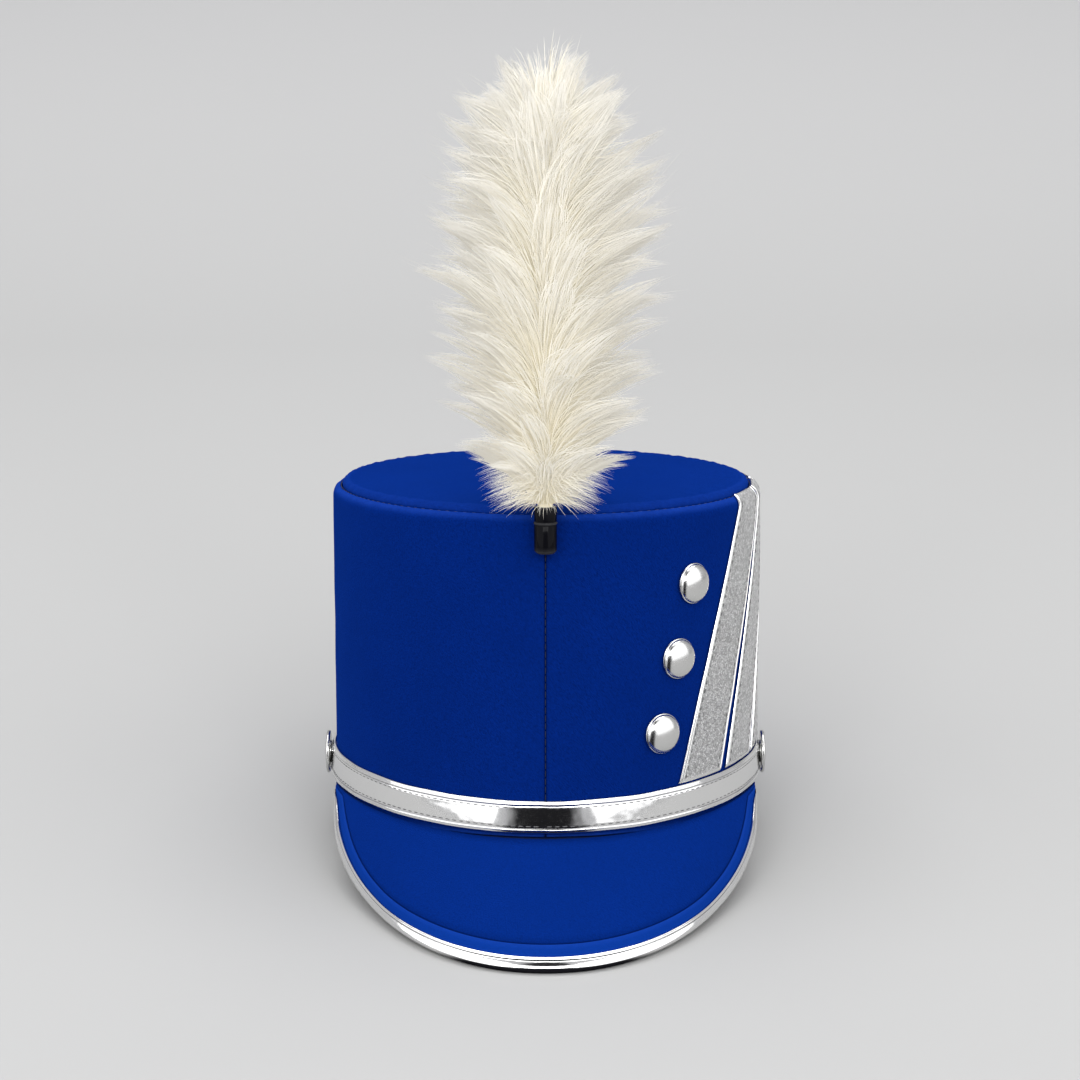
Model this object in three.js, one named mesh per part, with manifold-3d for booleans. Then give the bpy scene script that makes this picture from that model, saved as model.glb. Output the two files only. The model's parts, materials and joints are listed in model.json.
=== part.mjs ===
// A marching-band shako: a tall felt-covered crown with a deep sloping visor, a silver chin strap,
// three slanted stripes, dome buttons and a feather plume that stands in a socket at the front.
//
// The hat's own frame, used by everything below until the last section: millimetres, the crown's bottom
// rim in the plane z = 0, the crown's axis along +Z, the front towards -Y and the wearer's left towards +X.
// A place on the crown is given by its angle round the oval (0 at the front, 90 degrees at +X), by its
// height, and by its lift, the distance that it stands out from the crown's outer face.

import * as THREE from "three";
import { mergeVertices } from "three/addons/utils/BufferGeometryUtils.js";
import Module from "manifold-3d";

const wasm = await Module();
wasm.setup();

// General clearances and walls
const gap = 0.3;
const feltWall = 2.5;

// Crown
const crownHeight = 137;
const crownHalfWidth = 94.4;
const crownHalfDepth = 105.8;
const crownFlare = 0.6;
const rimRoll = 5;
const rimInset = 3;
const crownSides = 56;

// Top panel
const panelPuff = 4;
const panelDome = 2;
const panelLip = 1.8;

// Front seam of the crown
const seamWidth = 1;
const seamDepth = 0.8;

// Chin strap
const strapWidth = 13.7;
const strapThickness = 1.2;
const strapTop = 20.7;
const strapDip = 4.9;

// Side buttons, which hold the strap
const sideButtonRadius = 9.75;
const sideButtonThickness = 2;
const sideNeckRadius = 5;
const sideNeckLength = 0.8;
const sideShankRadius = 2;

// Dome buttons: the top one's distance round the crown from its front and its height,
// and how far each next one lies below it and towards the front
const domeCount = 3;
const domeAlong = 69.1;
const domeTopHeight = 104.4;
const domeDrop = 31.45;
const domeShift = 8.4;
const domeRadius = 8.75;
const domeHeight = 4.6;
const domeRim = 1;
const domeShankRadius = 1.5;

// Stripes: the first one's place, and how they lean
const stripeCount = 3;
const stripeStart = 62.4;
const stripeWidth = 27.5;
const stripeSpacing = 4;
const stripeThickness = 0.8;
const stripeLean = 0.285;
const stripeSweep = 0.00077;
const stripeStrapGap = 0.7;

// Visor
const visorTuck = 1.2;
const visorForward = 38.2;
const visorDrop = 46.6;
const visorRise = 9.3;
const visorThickness = 1.8;
const visorTab = 9;
const visorBulge = 1.8;
const visorEndDrop = 4.9;
const borderWidth = 6;
const borderRaise = 0.5;
const borderSlope = 0.8;

// Binding of the visor's edge
const bindingLeg = 7;
const bindingThickness = 0.7;

// Plume socket
const socketRadius = 4.75;
const socketBore = 3.2;
const socketLength = 19.7;
const socketStand = 4.7;
const socketFloor = 2.6;
const socketBevel = 1.2;
const socketRing = 6.9;
const socketRingRaise = 0.25;
const socketRingHalf = 0.6;
const socketLugRadius = 2;
const socketLugRise = 5;

// Plume
const plumeHeight = 188;
const plumeReach = 47;
const plumeCoreRadius = 26;
const plumeStemRadius = socketBore - gap;
const lockRings = 8;
const locksPerRing = 8;
const lockWidth = 10;
const lockThickness = 6;
const lockTip = 1.2;
const lockRise = 38;
const topLocks = 5;

// Colours
const feltBlue = 0x042c86;
const borderBlue = 0x0c3a9a;
const silver = 0xd9d9d8;
const cracklySilver = 0xb4b4b3;
const chrome = 0xe4e4e4;
const glossBlack = 0x0b0c0e;
const featherWhite = 0xece6d6;

const degrees = Math.PI / 180;

// Geometry into and out of the boolean library

function closed(geometry) {
  geometry.deleteAttribute("normal");
  geometry.deleteAttribute("uv");
  return mergeVertices(geometry, 1e-4);
}

function toSolid(geometry) {
  const merged = closed(geometry);
  const mesh = new wasm.Mesh({
    numProp: 3,
    vertProperties: new Float32Array(merged.attributes.position.array),
    triVerts: new Uint32Array(merged.index.array),
  });
  return new wasm.Manifold(mesh);
}

function fromSolid(solid) {
  const mesh = solid.getMesh();
  const geometry = new THREE.BufferGeometry();
  geometry.setAttribute("position", new THREE.BufferAttribute(mesh.vertProperties, 3));
  geometry.setIndex(new THREE.BufferAttribute(mesh.triVerts, 1));
  return geometry;
}

// Signed volume of a closed mesh, which is negative when its faces point inwards
function volumeOf(geometry) {
  const place = geometry.attributes.position;
  const corners = [new THREE.Vector3(), new THREE.Vector3(), new THREE.Vector3()];
  let volume = 0;
  for (let i = 0; i < geometry.index.count; i += 3) {
    corners.forEach((corner, k) => corner.fromBufferAttribute(place, geometry.index.getX(i + k)));
    volume += corners[0].dot(corners[1].clone().cross(corners[2])) / 6;
  }
  return volume;
}

function facingOut(geometry) {
  const merged = closed(geometry);
  if (volumeOf(merged) < 0) {
    merged.index.array.reverse();
  }
  return merged;
}

function moveVertices(geometry, place) {
  const position = geometry.attributes.position;
  const vertex = new THREE.Vector3();
  for (let i = 0; i < position.count; i += 1) {
    vertex.fromBufferAttribute(position, i);
    const moved = place(vertex);
    position.setXYZ(i, moved.x, moved.y, moved.z);
  }
  return facingOut(geometry);
}

// The crown's outer face

function onCrown(angle, height, lift) {
  const flare = crownFlare * (height / crownHeight);
  return new THREE.Vector3(
    (crownHalfWidth + flare + lift) * Math.sin(angle),
    -(crownHalfDepth + flare + lift) * Math.cos(angle),
    height,
  );
}

function crownNormal(angle) {
  const x = Math.sin(angle) / crownHalfWidth;
  const y = -Math.cos(angle) / crownHalfDepth;
  return new THREE.Vector3(x, y, 0).normalize();
}

// The angle of a point that lies a given distance round the rim from the front
const rimOutline = new THREE.EllipseCurve(
  0, 0, crownHalfWidth, crownHalfDepth, -Math.PI / 2, 1.5 * Math.PI,
);
rimOutline.arcLengthDivisions = 1440;
const rimLength = rimOutline.getLength();

function angleAlong(distance) {
  return rimOutline.getUtoTmapping(distance / rimLength) * 2 * Math.PI;
}

// The rolled top edge: it turns inwards on a radius, and ends at the seam of the top panel
const rollTurn = Math.acos(1 - rimInset / rimRoll);
const rollStart = crownHeight - rimRoll * Math.sin(rollTurn);
const rollLength = rimRoll * rollTurn;

function onCrownOverRim(angle, climb, lift) {
  const turn = Math.max(0, climb - rollStart) / rimRoll;
  const height = Math.min(climb, rollStart) + (rimRoll + lift) * Math.sin(turn);
  return onCrown(angle, height, (rimRoll + lift) * Math.cos(turn) - rimRoll);
}

// A closed section, given as lift and height, carried all round the crown.
// The lathe's own radius only serves to carry the lift.
function ringRound(section, bend = (angle, height) => height) {
  const carrier = 100;
  const profile = section.map(([lift, height]) => new THREE.Vector2(carrier + lift, height));
  profile.push(profile[0].clone());
  return moveVertices(new THREE.LatheGeometry(profile, crownSides), (vertex) => {
    const lift = Math.hypot(vertex.x, vertex.z) - carrier;
    const angle = Math.atan2(vertex.x, vertex.z);
    return onCrown(angle, bend(angle, vertex.y), lift);
  });
}

const surfaceStep = 1e-3;

function alongSurface(place, u, v) {
  const ahead = place(Math.min(1, u + surfaceStep), v);
  return ahead.sub(place(Math.max(0, u - surfaceStep), v)).normalize();
}

function surfaceNormal(place, u, v) {
  const ahead = place(u, Math.min(1, v + surfaceStep));
  const alongV = ahead.sub(place(u, Math.max(0, v - surfaceStep))).normalize();
  return alongSurface(place, u, v).cross(alongV).normalize();
}

// A curved sheet: place(u, v) is its middle surface, and above and below are its two half thicknesses
function curvedSheet(place, columns, rows, above, below) {
  const box = new THREE.BoxGeometry(1, 1, 1, columns, rows, 1);
  return moveVertices(box, (vertex) => {
    const u = vertex.x + 0.5;
    const v = vertex.y + 0.5;
    const offset = vertex.z > 0 ? above(u, v) : -below(u, v);
    return place(u, v).addScaledVector(surfaceNormal(place, u, v), offset);
  });
}

// The point at share v of a line through the given points, which are evenly shared along it
function alongPoints(points, v) {
  const reach = Math.min(v * (points.length - 1), points.length - 1 - 1e-9);
  const start = Math.floor(reach);
  return points[start].clone().lerp(points[start + 1], reach - start);
}

// Fittings that stand on the crown: their own +Z points straight out of the wall, and +Y up the hat

function standOnCrown(object, angle, height) {
  const out = crownNormal(angle);
  const up = new THREE.Vector3(0, 0, 1);
  const across = up.clone().cross(out);
  object.quaternion.setFromRotationMatrix(new THREE.Matrix4().makeBasis(across, up, out));
  object.position.copy(onCrown(angle, height, 0));
  return object;
}

// A turned piece about its own +Z, from a profile of radius and height that starts and ends on the axis
function turned(profile, sides) {
  const points = profile.map(([radius, height]) => new THREE.Vector2(radius, height));
  return facingOut(new THREE.LatheGeometry(points, sides).rotateX(Math.PI / 2));
}

function shankHole(angle, height, radius) {
  const drill = new THREE.CylinderGeometry(radius + gap, radius + gap, 6 * feltWall, 12);
  drill.rotateX(Math.PI / 2);
  const place = standOnCrown(new THREE.Object3D(), angle, height);
  place.updateMatrix();
  return toSolid(drill.applyMatrix4(place.matrix));
}

const sideButtonAngles = { left: 90 * degrees, right: -90 * degrees };
const strapMiddle = strapTop - strapWidth / 2;
const socketTop = crownHeight + socketStand;
const socketBottom = socketTop - socketLength;
const socketLugHeight = socketBottom + socketLugRise;
const domeButtons = Array.from({ length: domeCount }, (_, i) => ({
  along: domeAlong - i * domeShift,
  height: domeTopHeight - i * domeDrop,
}));

// Crown wall

function crownWallSection() {
  const bends = 4;
  const outer = [[0, 0]];
  const inner = [[-feltWall, 0]];
  for (let i = 0; i <= bends; i += 1) {
    const turn = (rollTurn * i) / bends;
    const radii = [rimRoll, rimRoll - feltWall];
    [outer, inner].forEach((side, k) => {
      side.push([radii[k] * Math.cos(turn) - rimRoll, rollStart + radii[k] * Math.sin(turn)]);
    });
  }
  return outer.concat(inner.reverse());
}

function crownWall() {
  let wall = toSolid(ringRound(crownWallSection()));
  const seam = new THREE.BoxGeometry(seamWidth, 2 * seamDepth, 2 * crownHeight);
  seam.translate(0, -(crownHalfDepth + crownFlare / 2), 0);
  wall = wall.subtract(toSolid(seam));
  for (const angle of Object.values(sideButtonAngles)) {
    wall = wall.subtract(shankHole(angle, strapMiddle, sideShankRadius));
  }
  for (const button of domeButtons) {
    wall = wall.subtract(shankHole(angleAlong(button.along), button.height, domeShankRadius));
  }
  return fromSolid(wall.subtract(shankHole(0, socketLugHeight, socketLugRadius)));
}

// Top panel: it stands in the rolled edge and puffs up beyond the seam

function topPanel() {
  const bends = 3;
  const rollEndLift = (rimRoll - feltWall) * Math.cos(rollTurn) - rimRoll;
  const edge = crownHalfWidth + crownFlare + rollEndLift - gap;
  const puffTurn = 75 * degrees;
  const seat = crownHeight - panelLip;
  const thin = panelPuff - feltWall;
  const outer = [];
  const inner = [[edge - feltWall, seat]];
  for (let i = 0; i <= bends; i += 1) {
    const turn = (puffTurn * i) / bends;
    outer.push([edge - panelPuff * (1 - Math.cos(turn)), crownHeight + panelPuff * Math.sin(turn)]);
    inner.push([edge - panelPuff + thin * Math.cos(turn), crownHeight + thin * Math.sin(turn)]);
  }
  const crest = outer[bends][1];
  const profile = [
    [0, crest + panelDome - feltWall],
    [0, crest + panelDome],
    [0.55 * edge, crest + 0.7 * panelDome],
    ...outer.reverse(),
    [edge, seat],
    ...inner,
    [0, crest + panelDome - feltWall],
  ];
  const points = profile.map(([radius, height]) => new THREE.Vector2(radius, height));
  const edgeDepth = edge + crownHalfDepth - crownHalfWidth;
  return moveVertices(new THREE.LatheGeometry(points, crownSides), (vertex) => new THREE.Vector3(
    vertex.x,
    (-vertex.z * edgeDepth) / edge,
    vertex.y,
  ));
}

// Chin strap: one loop round the crown, level at the back and dipping at the front

function strapHeight(angle) {
  const forward = Math.max(0, Math.cos(angle));
  return strapTop - strapDip * forward ** 2;
}

function chinStrap() {
  const inside = gap;
  const outside = gap + strapThickness;
  const section = [[inside, -strapWidth], [outside, -strapWidth], [outside, 0], [inside, 0]];
  let strap = toSolid(ringRound(section, (angle, height) => strapHeight(angle) + height));
  for (const angle of Object.values(sideButtonAngles)) {
    strap = strap.subtract(shankHole(angle, strapMiddle, sideShankRadius));
  }
  return fromSolid(strap);
}

// Buttons

function sideButton() {
  const neck = 2 * gap + strapThickness;
  const back = neck + sideNeckLength;
  const front = back + sideButtonThickness;
  return turned([
    [0, -feltWall],
    [sideShankRadius, -feltWall],
    [sideShankRadius, neck],
    [sideNeckRadius, neck],
    [sideNeckRadius, back],
    [sideButtonRadius, back],
    [sideButtonRadius, back + 0.45 * sideButtonThickness],
    [0.75 * sideButtonRadius, back + 0.85 * sideButtonThickness],
    [0, front],
  ], 16);
}

function domeButton() {
  const steps = 4;
  const back = gap;
  const profile = [
    [0, -feltWall],
    [domeShankRadius, -feltWall],
    [domeShankRadius, back],
    [domeRadius, back],
  ];
  for (let i = 0; i < steps; i += 1) {
    const turn = (90 * degrees * i) / steps;
    profile.push([domeRadius * Math.cos(turn), back + domeRim + (domeHeight - domeRim) * Math.sin(turn)]);
  }
  profile.push([0, back + domeHeight]);
  return turned(profile, 14);
}

// Stripes: they start just above the strap, lean outwards as they climb, and turn over the rolled edge

function stripe(index) {
  const start = stripeStart + index * (stripeWidth + stripeSpacing);
  const rollShare = 0.4;
  const lift = gap + stripeThickness / 2;
  const place = (u, v) => {
    const bottomAngle = angleAlong(start + u * stripeWidth);
    const bottom = strapHeight(bottomAngle) + stripeStrapGap;
    const onWall = Math.min(1, v / (1 - rollShare));
    const overRim = Math.max(0, v - (1 - rollShare)) / rollShare;
    const climb = THREE.MathUtils.lerp(bottom, rollStart, onWall) + rollLength * overRim;
    const risen = climb - strapTop;
    const along = start + u * stripeWidth + stripeLean * risen + stripeSweep * risen ** 2;
    return onCrownOverRim(angleAlong(along), climb, lift);
  };
  const half = () => stripeThickness / 2;
  return curvedSheet(place, 6, 10, half, half);
}

// Visor: a tab inside the wall, a bend under the rim and a sloping plate with a raised border

const visorHalfWidth = crownHalfWidth - visorTuck;
const visorReach = crownHalfDepth + visorForward;
const edgeSoftness = 2 / 2.1;
const edgeSweep = 0.63;

function visorEdge(angle) {
  const forward = Math.cos(angle);
  return new THREE.Vector3(
    visorHalfWidth * Math.sign(angle) * Math.abs(Math.sin(angle)) ** edgeSoftness,
    -visorReach * forward ** edgeSoftness,
    visorRise - (visorRise + visorDrop) * forward ** edgeSweep,
  );
}

// The visor ends where its edge has risen to just below the rim
const visorEndAngle = Math.acos(
  ((visorRise + visorEndDrop) / (visorRise + visorDrop)) ** (1 / edgeSweep),
);

// The plate's middle surface across the visor, from its edge in to the top of the tab
function visorSection(angle) {
  const tabLift = -(feltWall + gap + visorThickness / 2);
  const under = -(2 * gap + visorThickness / 2);
  const bendLift = tabLift * (1 - Math.sqrt(Math.cos(angle)));
  const bend = onCrown(angle, under, bendLift);
  const edge = visorEdge(angle);
  const inward = bend.clone().sub(edge);
  const length = inward.length();
  const turn = 0.1 * degrees;
  const alongEdge = visorEdge(angle + turn).sub(visorEdge(angle - turn));
  const upward = alongEdge.cross(inward).normalize();
  const leg = Math.min(bindingLeg, 0.5 * length);
  const borderFoot = Math.min(bindingLeg + borderWidth, 0.85 * length);
  const borderTop = Math.max(leg, borderFoot - borderSlope);
  const onPlate = (fromEdge) => {
    const share = 1 - fromEdge / length;
    const bulge = visorBulge * 4 * share * (1 - share) * (length / (length + bindingLeg));
    return bend.clone().lerp(edge, share).addScaledVector(upward, bulge);
  };
  return [
    edge,
    onPlate(leg),
    onPlate(borderTop),
    onPlate(borderFoot),
    onPlate(0.35 * length + 0.65 * borderFoot),
    onPlate(0.7 * length + 0.3 * borderFoot),
    bend,
    onCrown(angle, under, tabLift),
    onCrown(angle, visorTab, tabLift),
  ];
}

const visorColumns = 36;
const visorRows = 8;
const lastRaisedRow = 2;

// The columns lie closer together towards the visor's ends, where its edge turns up
function onVisor(u, v) {
  const angle = visorEndAngle * Math.sin(Math.PI * (u - 0.5));
  return alongPoints(visorSection(angle), v);
}

function visor() {
  const half = visorThickness / 2;
  const above = (u, v) => (v * visorRows < lastRaisedRow + 0.5 ? half + borderRaise : half);
  const below = () => half;
  return curvedSheet(onVisor, visorColumns, visorRows, above, below);
}

function visorBinding() {
  const half = visorThickness / 2 + gap + bindingThickness / 2;
  const nose = gap + bindingThickness;
  const corner = 0.2 * nose;
  const top = half + borderRaise;
  const legRow = 1 / visorRows;
  // Round the edge from the lower leg to the upper one: the row of the plate, how far out past it,
  // and the level above or below it
  const turns = [
    { row: legRow, out: 0, level: -half },
    { row: 0, out: corner, level: -half },
    { row: 0, out: nose, level: -0.4 * half },
    { row: 0, out: nose, level: 0.4 * top },
    { row: 0, out: corner, level: top },
    { row: legRow, out: 0, level: top },
  ];
  const place = (u, v) => {
    const outward = alongSurface(onVisor, u, 0).cross(surfaceNormal(onVisor, u, 0));
    const points = turns.map(({ row, out, level }) => onVisor(u, row)
      .addScaledVector(outward, out)
      .addScaledVector(surfaceNormal(onVisor, u, row), level));
    return alongPoints(points, v);
  };
  const thin = () => bindingThickness / 2;
  return curvedSheet(place, visorColumns, turns.length - 1, thin, thin);
}

// Plume socket: a cup with a bevelled bottom and a ring, held to the wall by a lug

const socketOut = gap + socketRadius;
const socketAxisY = -(crownHalfDepth + crownFlare + socketOut);

function plumeSocket() {
  const height = socketTop - socketBottom;
  const ring = height - socketRing;
  const cup = turned([
    [0, 0],
    [socketRadius - socketBevel, 0],
    [socketRadius, socketBevel],
    [socketRadius, ring - socketRingHalf],
    [socketRadius + socketRingRaise, ring],
    [socketRadius, ring + socketRingHalf],
    [socketRadius, height],
    [socketBore, height],
    [socketBore, socketFloor],
    [0, socketFloor],
  ], 20);
  const lugLength = feltWall + socketOut - (socketBore + socketRadius) / 2;
  const lug = new THREE.CylinderGeometry(socketLugRadius, socketLugRadius, lugLength, 12);
  const lugMiddle = -(socketAxisY + crownHalfDepth) - feltWall;
  lug.translate(0, (socketBore + socketRadius) / 2 + lugLength / 2, socketLugHeight - socketBottom);
  return fromSolid(toSolid(cup).add(toSolid(lug)));
}

// Plume: curved locks of feather fused to a spindle, which narrows to a stem in the socket

// The outline of the locks' tips, as shares of the plume's height and reach
const plumeOutline = [
  { height: 0.0, reach: 0.25 },
  { height: 0.07, reach: 0.52 },
  { height: 0.16, reach: 0.75 },
  { height: 0.34, reach: 0.9 },
  { height: 0.58, reach: 1.0 },
  { height: 0.72, reach: 0.98 },
  { height: 0.85, reach: 0.84 },
  { height: 0.95, reach: 0.64 },
];

function plumeRadius(share) {
  let row = plumeOutline.findIndex(({ height }) => height > share);
  row = row < 1 ? plumeOutline.length - 1 : row;
  const low = plumeOutline[row - 1];
  const high = plumeOutline[row];
  const way = THREE.MathUtils.clamp((share - low.height) / (high.height - low.height), 0, 1);
  return plumeReach * THREE.MathUtils.lerp(low.reach, high.reach, way);
}

// A lock of barbs: a flat leaf that is widest a third of the way up, and ends in a blunt tip
function featherLock(root, bend, tip, halfWidth) {
  const path = new THREE.QuadraticBezierCurve3(root, bend, tip);
  const leaf = new THREE.CylinderGeometry(1, 1, 1, 5, 3);
  return toSolid(moveVertices(leaf, (vertex) => {
    const share = vertex.y + 0.5;
    const forward = path.getTangent(share);
    const side = new THREE.Vector3(-tip.y, tip.x, 0).normalize();
    const over = side.clone().cross(forward).normalize();
    const fullness = 1 - (1.25 * Math.abs(share - 0.35)) ** 2;
    return path.getPoint(share)
      .addScaledVector(side, vertex.x * Math.max(lockTip, halfWidth * fullness))
      .addScaledVector(over, vertex.z * Math.max(lockTip, lockThickness * (1 - share)));
  }));
}

function plumeCore() {
  const stem = socketTop - socketBottom - socketFloor - gap;
  const core = plumeCoreRadius;
  return toSolid(turned([
    [0, -stem],
    [plumeStemRadius, -stem],
    [plumeStemRadius, gap],
    [0.42 * core, 0.06 * plumeHeight],
    [0.8 * core, 0.18 * plumeHeight],
    [core, 0.42 * plumeHeight],
    [0.96 * core, 0.68 * plumeHeight],
    [0.66 * core, 0.86 * plumeHeight],
    [0, 0.93 * plumeHeight],
  ], 12));
}

function plume() {
  let body = plumeCore();
  const aside = (turn, reach, height) => new THREE.Vector3(
    reach * Math.sin(turn),
    -reach * Math.cos(turn),
    height,
  );
  for (let ring = 0; ring < lockRings; ring += 1) {
    const rootHeight = plumeHeight * (0.04 + (0.74 * ring) / lockRings);
    const tipHeight = rootHeight + lockRise;
    for (let i = 0; i < locksPerRing; i += 1) {
      const turn = (2 * Math.PI * (i + 0.5 * (ring % 2))) / locksPerRing;
      const wave = 0.93 + 0.07 * Math.cos(5 * turn + 2.3 * ring);
      const reach = plumeRadius(tipHeight / plumeHeight) * wave;
      const root = aside(turn, 0.18 * reach, rootHeight);
      const bend = aside(turn, 0.52 * reach, tipHeight);
      const tip = aside(turn, reach, tipHeight - 0.06 * lockRise);
      body = body.add(featherLock(root, bend, tip, lockWidth * (0.4 + (0.6 * reach) / plumeReach)));
    }
  }
  for (let i = 0; i < topLocks; i += 1) {
    const turn = (2 * Math.PI * (i + 0.3)) / topLocks;
    const lean = 0.36 * plumeReach;
    const root = aside(turn, 0.1 * lean, 0.74 * plumeHeight);
    const bend = aside(turn, 0.9 * lean, 0.88 * plumeHeight);
    const tip = aside(turn, lean, plumeHeight * (0.97 + 0.03 * Math.cos(2 * turn)));
    body = body.add(featherLock(root, bend, tip, 0.8 * lockWidth));
  }
  return fromSolid(body);
}

// The assembly

function material(color, roughness, metalness) {
  return new THREE.MeshStandardMaterial({ color, roughness, metalness });
}

function named(name, geometry, finish) {
  geometry.computeVertexNormals();
  const mesh = new THREE.Mesh(geometry, finish);
  mesh.name = name;
  return mesh;
}

const felt = material(feltBlue, 0.95, 0);
const napped = material(borderBlue, 0.95, 0);
const mirrorSilver = material(silver, 0.18, 0.9);
const crackledSilver = material(cracklySilver, 0.35, 0.85);
const chromed = material(chrome, 0.08, 1);
const lacquer = material(glossBlack, 0.12, 0);
const feather = material(featherWhite, 0.9, 0);

const hat = new THREE.Group();
hat.add(named("crown_wall", crownWall(), felt));
hat.add(named("crown_top", topPanel(), felt));
hat.add(named("visor", visor(), napped));
hat.add(named("visor_binding", visorBinding(), mirrorSilver));
hat.add(named("chin_strap", chinStrap(), mirrorSilver));
for (const [side, angle] of Object.entries(sideButtonAngles)) {
  hat.add(standOnCrown(named(`side_button_${side}`, sideButton(), chromed), angle, strapMiddle));
}
domeButtons.forEach((button, i) => {
  const mesh = named(`dome_button_${i + 1}`, domeButton(), chromed);
  hat.add(standOnCrown(mesh, angleAlong(button.along), button.height));
});
for (let i = 0; i < stripeCount; i += 1) {
  hat.add(named(`stripe_${i + 1}`, stripe(i), crackledSilver));
}
const socket = named("plume_socket", plumeSocket(), lacquer);
socket.position.set(0, socketAxisY, socketBottom);
hat.add(socket);
const featherPlume = named("plume", plume(), feather);
featherPlume.position.set(0, socketAxisY, socketTop);
hat.add(featherPlume);

// The hat at rest: it leans back until the visor's edge and the back of the rim touch one level,
// and the origin is then the middle of the floor under its box

function lowestPoint(group, front) {
  const lowest = new THREE.Vector3(0, 0, Infinity);
  const vertex = new THREE.Vector3();
  group.updateMatrixWorld(true);
  group.traverse((mesh) => {
    const position = mesh.isMesh ? mesh.geometry.attributes.position : { count: 0 };
    for (let i = 0; i < position.count; i += 1) {
      vertex.fromBufferAttribute(position, i).applyMatrix4(mesh.matrixWorld);
      if (vertex.y < 0 === front && vertex.z < lowest.z) {
        lowest.copy(vertex);
      }
    }
  });
  return lowest;
}

for (let round = 0; round < 4; round += 1) {
  const front = lowestPoint(hat, true);
  const back = lowestPoint(hat, false);
  hat.rotation.x += Math.atan2(front.z - back.z, back.y - front.y);
}

const box = new THREE.Box3().setFromObject(hat, true);
const middle = box.getCenter(new THREE.Vector3());
hat.position.set(-middle.x, -middle.y, -box.min.z);

const shako = new THREE.Group();
shako.add(hat);

export default shako;
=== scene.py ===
"""A blue felt shako hat with silver trim and a white feather plume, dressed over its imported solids.

Lengths in the making functions are millimetres in the hat's own frame, where z = 0 is the base rim, -y is
the front and +x is the wearer's left. to_world() turns them into the frame's metres.
"""

import json
import math

import bmesh
import bpy
import numpy as np
from bpy.props import FloatProperty, FloatVectorProperty, IntProperty, PointerProperty
from mathutils import Matrix


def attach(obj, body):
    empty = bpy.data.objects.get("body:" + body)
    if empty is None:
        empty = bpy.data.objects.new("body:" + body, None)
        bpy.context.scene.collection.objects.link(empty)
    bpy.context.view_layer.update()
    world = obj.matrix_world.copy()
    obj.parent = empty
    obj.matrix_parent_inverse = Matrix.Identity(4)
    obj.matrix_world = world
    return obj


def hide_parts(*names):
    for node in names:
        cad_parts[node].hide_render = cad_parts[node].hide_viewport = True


bl_info = {
    "name": "Shako hat",
    "version": (1, 0, 0),
    "blender": (4, 5, 0),
    "location": "3D View > Sidebar > Shako",
    "description": "Dresses the solids of a shako hat with felt, silver trim, buttons and a feather plume",
    "category": "Add Mesh",
}

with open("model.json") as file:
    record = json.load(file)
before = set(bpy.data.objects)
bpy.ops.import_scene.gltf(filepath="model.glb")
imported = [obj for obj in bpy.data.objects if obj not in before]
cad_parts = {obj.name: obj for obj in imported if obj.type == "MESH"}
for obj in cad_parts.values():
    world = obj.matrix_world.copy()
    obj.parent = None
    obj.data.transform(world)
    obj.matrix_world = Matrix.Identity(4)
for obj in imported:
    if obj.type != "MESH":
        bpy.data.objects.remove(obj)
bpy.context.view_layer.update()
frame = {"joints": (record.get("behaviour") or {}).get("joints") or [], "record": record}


# The hat's own frame

UP = np.array(frame["joints"][0]["axis"], dtype=float)
UP = UP / np.linalg.norm(UP)
SIDE = np.array([1.0, 0.0, 0.0])
BACK = np.cross(UP, SIDE)
AXES = np.array([SIDE, BACK, UP])
RIM_POINT = np.array(frame["record"]["mounts"][0]["pos_m"], dtype=float)
ORIGIN = RIM_POINT - RIM_POINT[0] * SIDE


def to_world(points):
    """Turns points in the hat's frame, in mm, into the frame's metres."""
    return ORIGIN + np.asarray(points) @ AXES / 1000.0


# Sizes shared with the solids

GAP = 0.3
FELT_WALL = 2.5
CROWN_HEIGHT = 137.0
CROWN_HALF_WIDTH = 94.4
CROWN_HALF_DEPTH = 105.8
CROWN_FLARE = 0.6
RIM_ROLL = 5.0
RIM_INSET = 3.0
PANEL_PUFF = 3.2
PANEL_DOME = 1.7
PANEL_LIP = 1.8
SEAM_DEPTH = 0.8
STRAP_WIDTH = 13.7
STRAP_TOP = 20.7
STRAP_DIP = 4.9
STRIPE_COUNT = 3
STRIPE_START = 62.4
STRIPE_WIDTH = 27.5
STRIPE_SPACING = 4.0
STRIPE_THICKNESS = 0.8
STRIPE_LEAN = 0.285
STRIPE_SWEEP = 0.00077
STRIPE_STRAP_GAP = 0.7
STRIPE_STITCH_IN = 3.0
STRIPE_CORNER = 0.85  # the share of a stripe's climb at which it reaches the rolled edge
DOME_COUNT = 3
DOME_ALONG = 69.1  # the top button's distance round the rim from the front
DOME_ALONG_STEP = 8.4
DOME_UP = 104.4
DOME_UP_STEP = 31.45
DOME_HEIGHT = 4.6
VISOR_HALF_WIDTH = 93.2
VISOR_REACH = 144.0
VISOR_DROP = 46.6
VISOR_RISE = 9.3
VISOR_THICKNESS = 1.8
VISOR_TAB = 9.0
VISOR_BULGE = 1.8
VISOR_END_DROP = 4.9
EDGE_SOFTNESS = 2 / 2.1
EDGE_SWEEP = 0.63
BORDER_WIDTH = 6.0
BORDER_RAISE = 0.5
VISOR_PAINTED_LIGHT = 0.25  # how far the whole visor takes the lighter colour of its border, as painted light for the light its upward face catches
BINDING_LEG = 4.6
BINDING_THICKNESS = 0.7
SOCKET_RADIUS = 4.75
SOCKET_BORE = 3.2
SOCKET_LENGTH = 19.7
SOCKET_TOP = 141.7
SOCKET_BOTTOM = SOCKET_TOP - SOCKET_LENGTH
SOCKET_FLOOR = 2.6
SOCKET_RING_DOWN = 6.9  # from the cup's mouth down to its ring
LUG_BACK = 1.4  # where the lug's turned form starts, behind its own zero
LUG_SUNK = 0.9  # how deep it starts inside the cup's face
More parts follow.
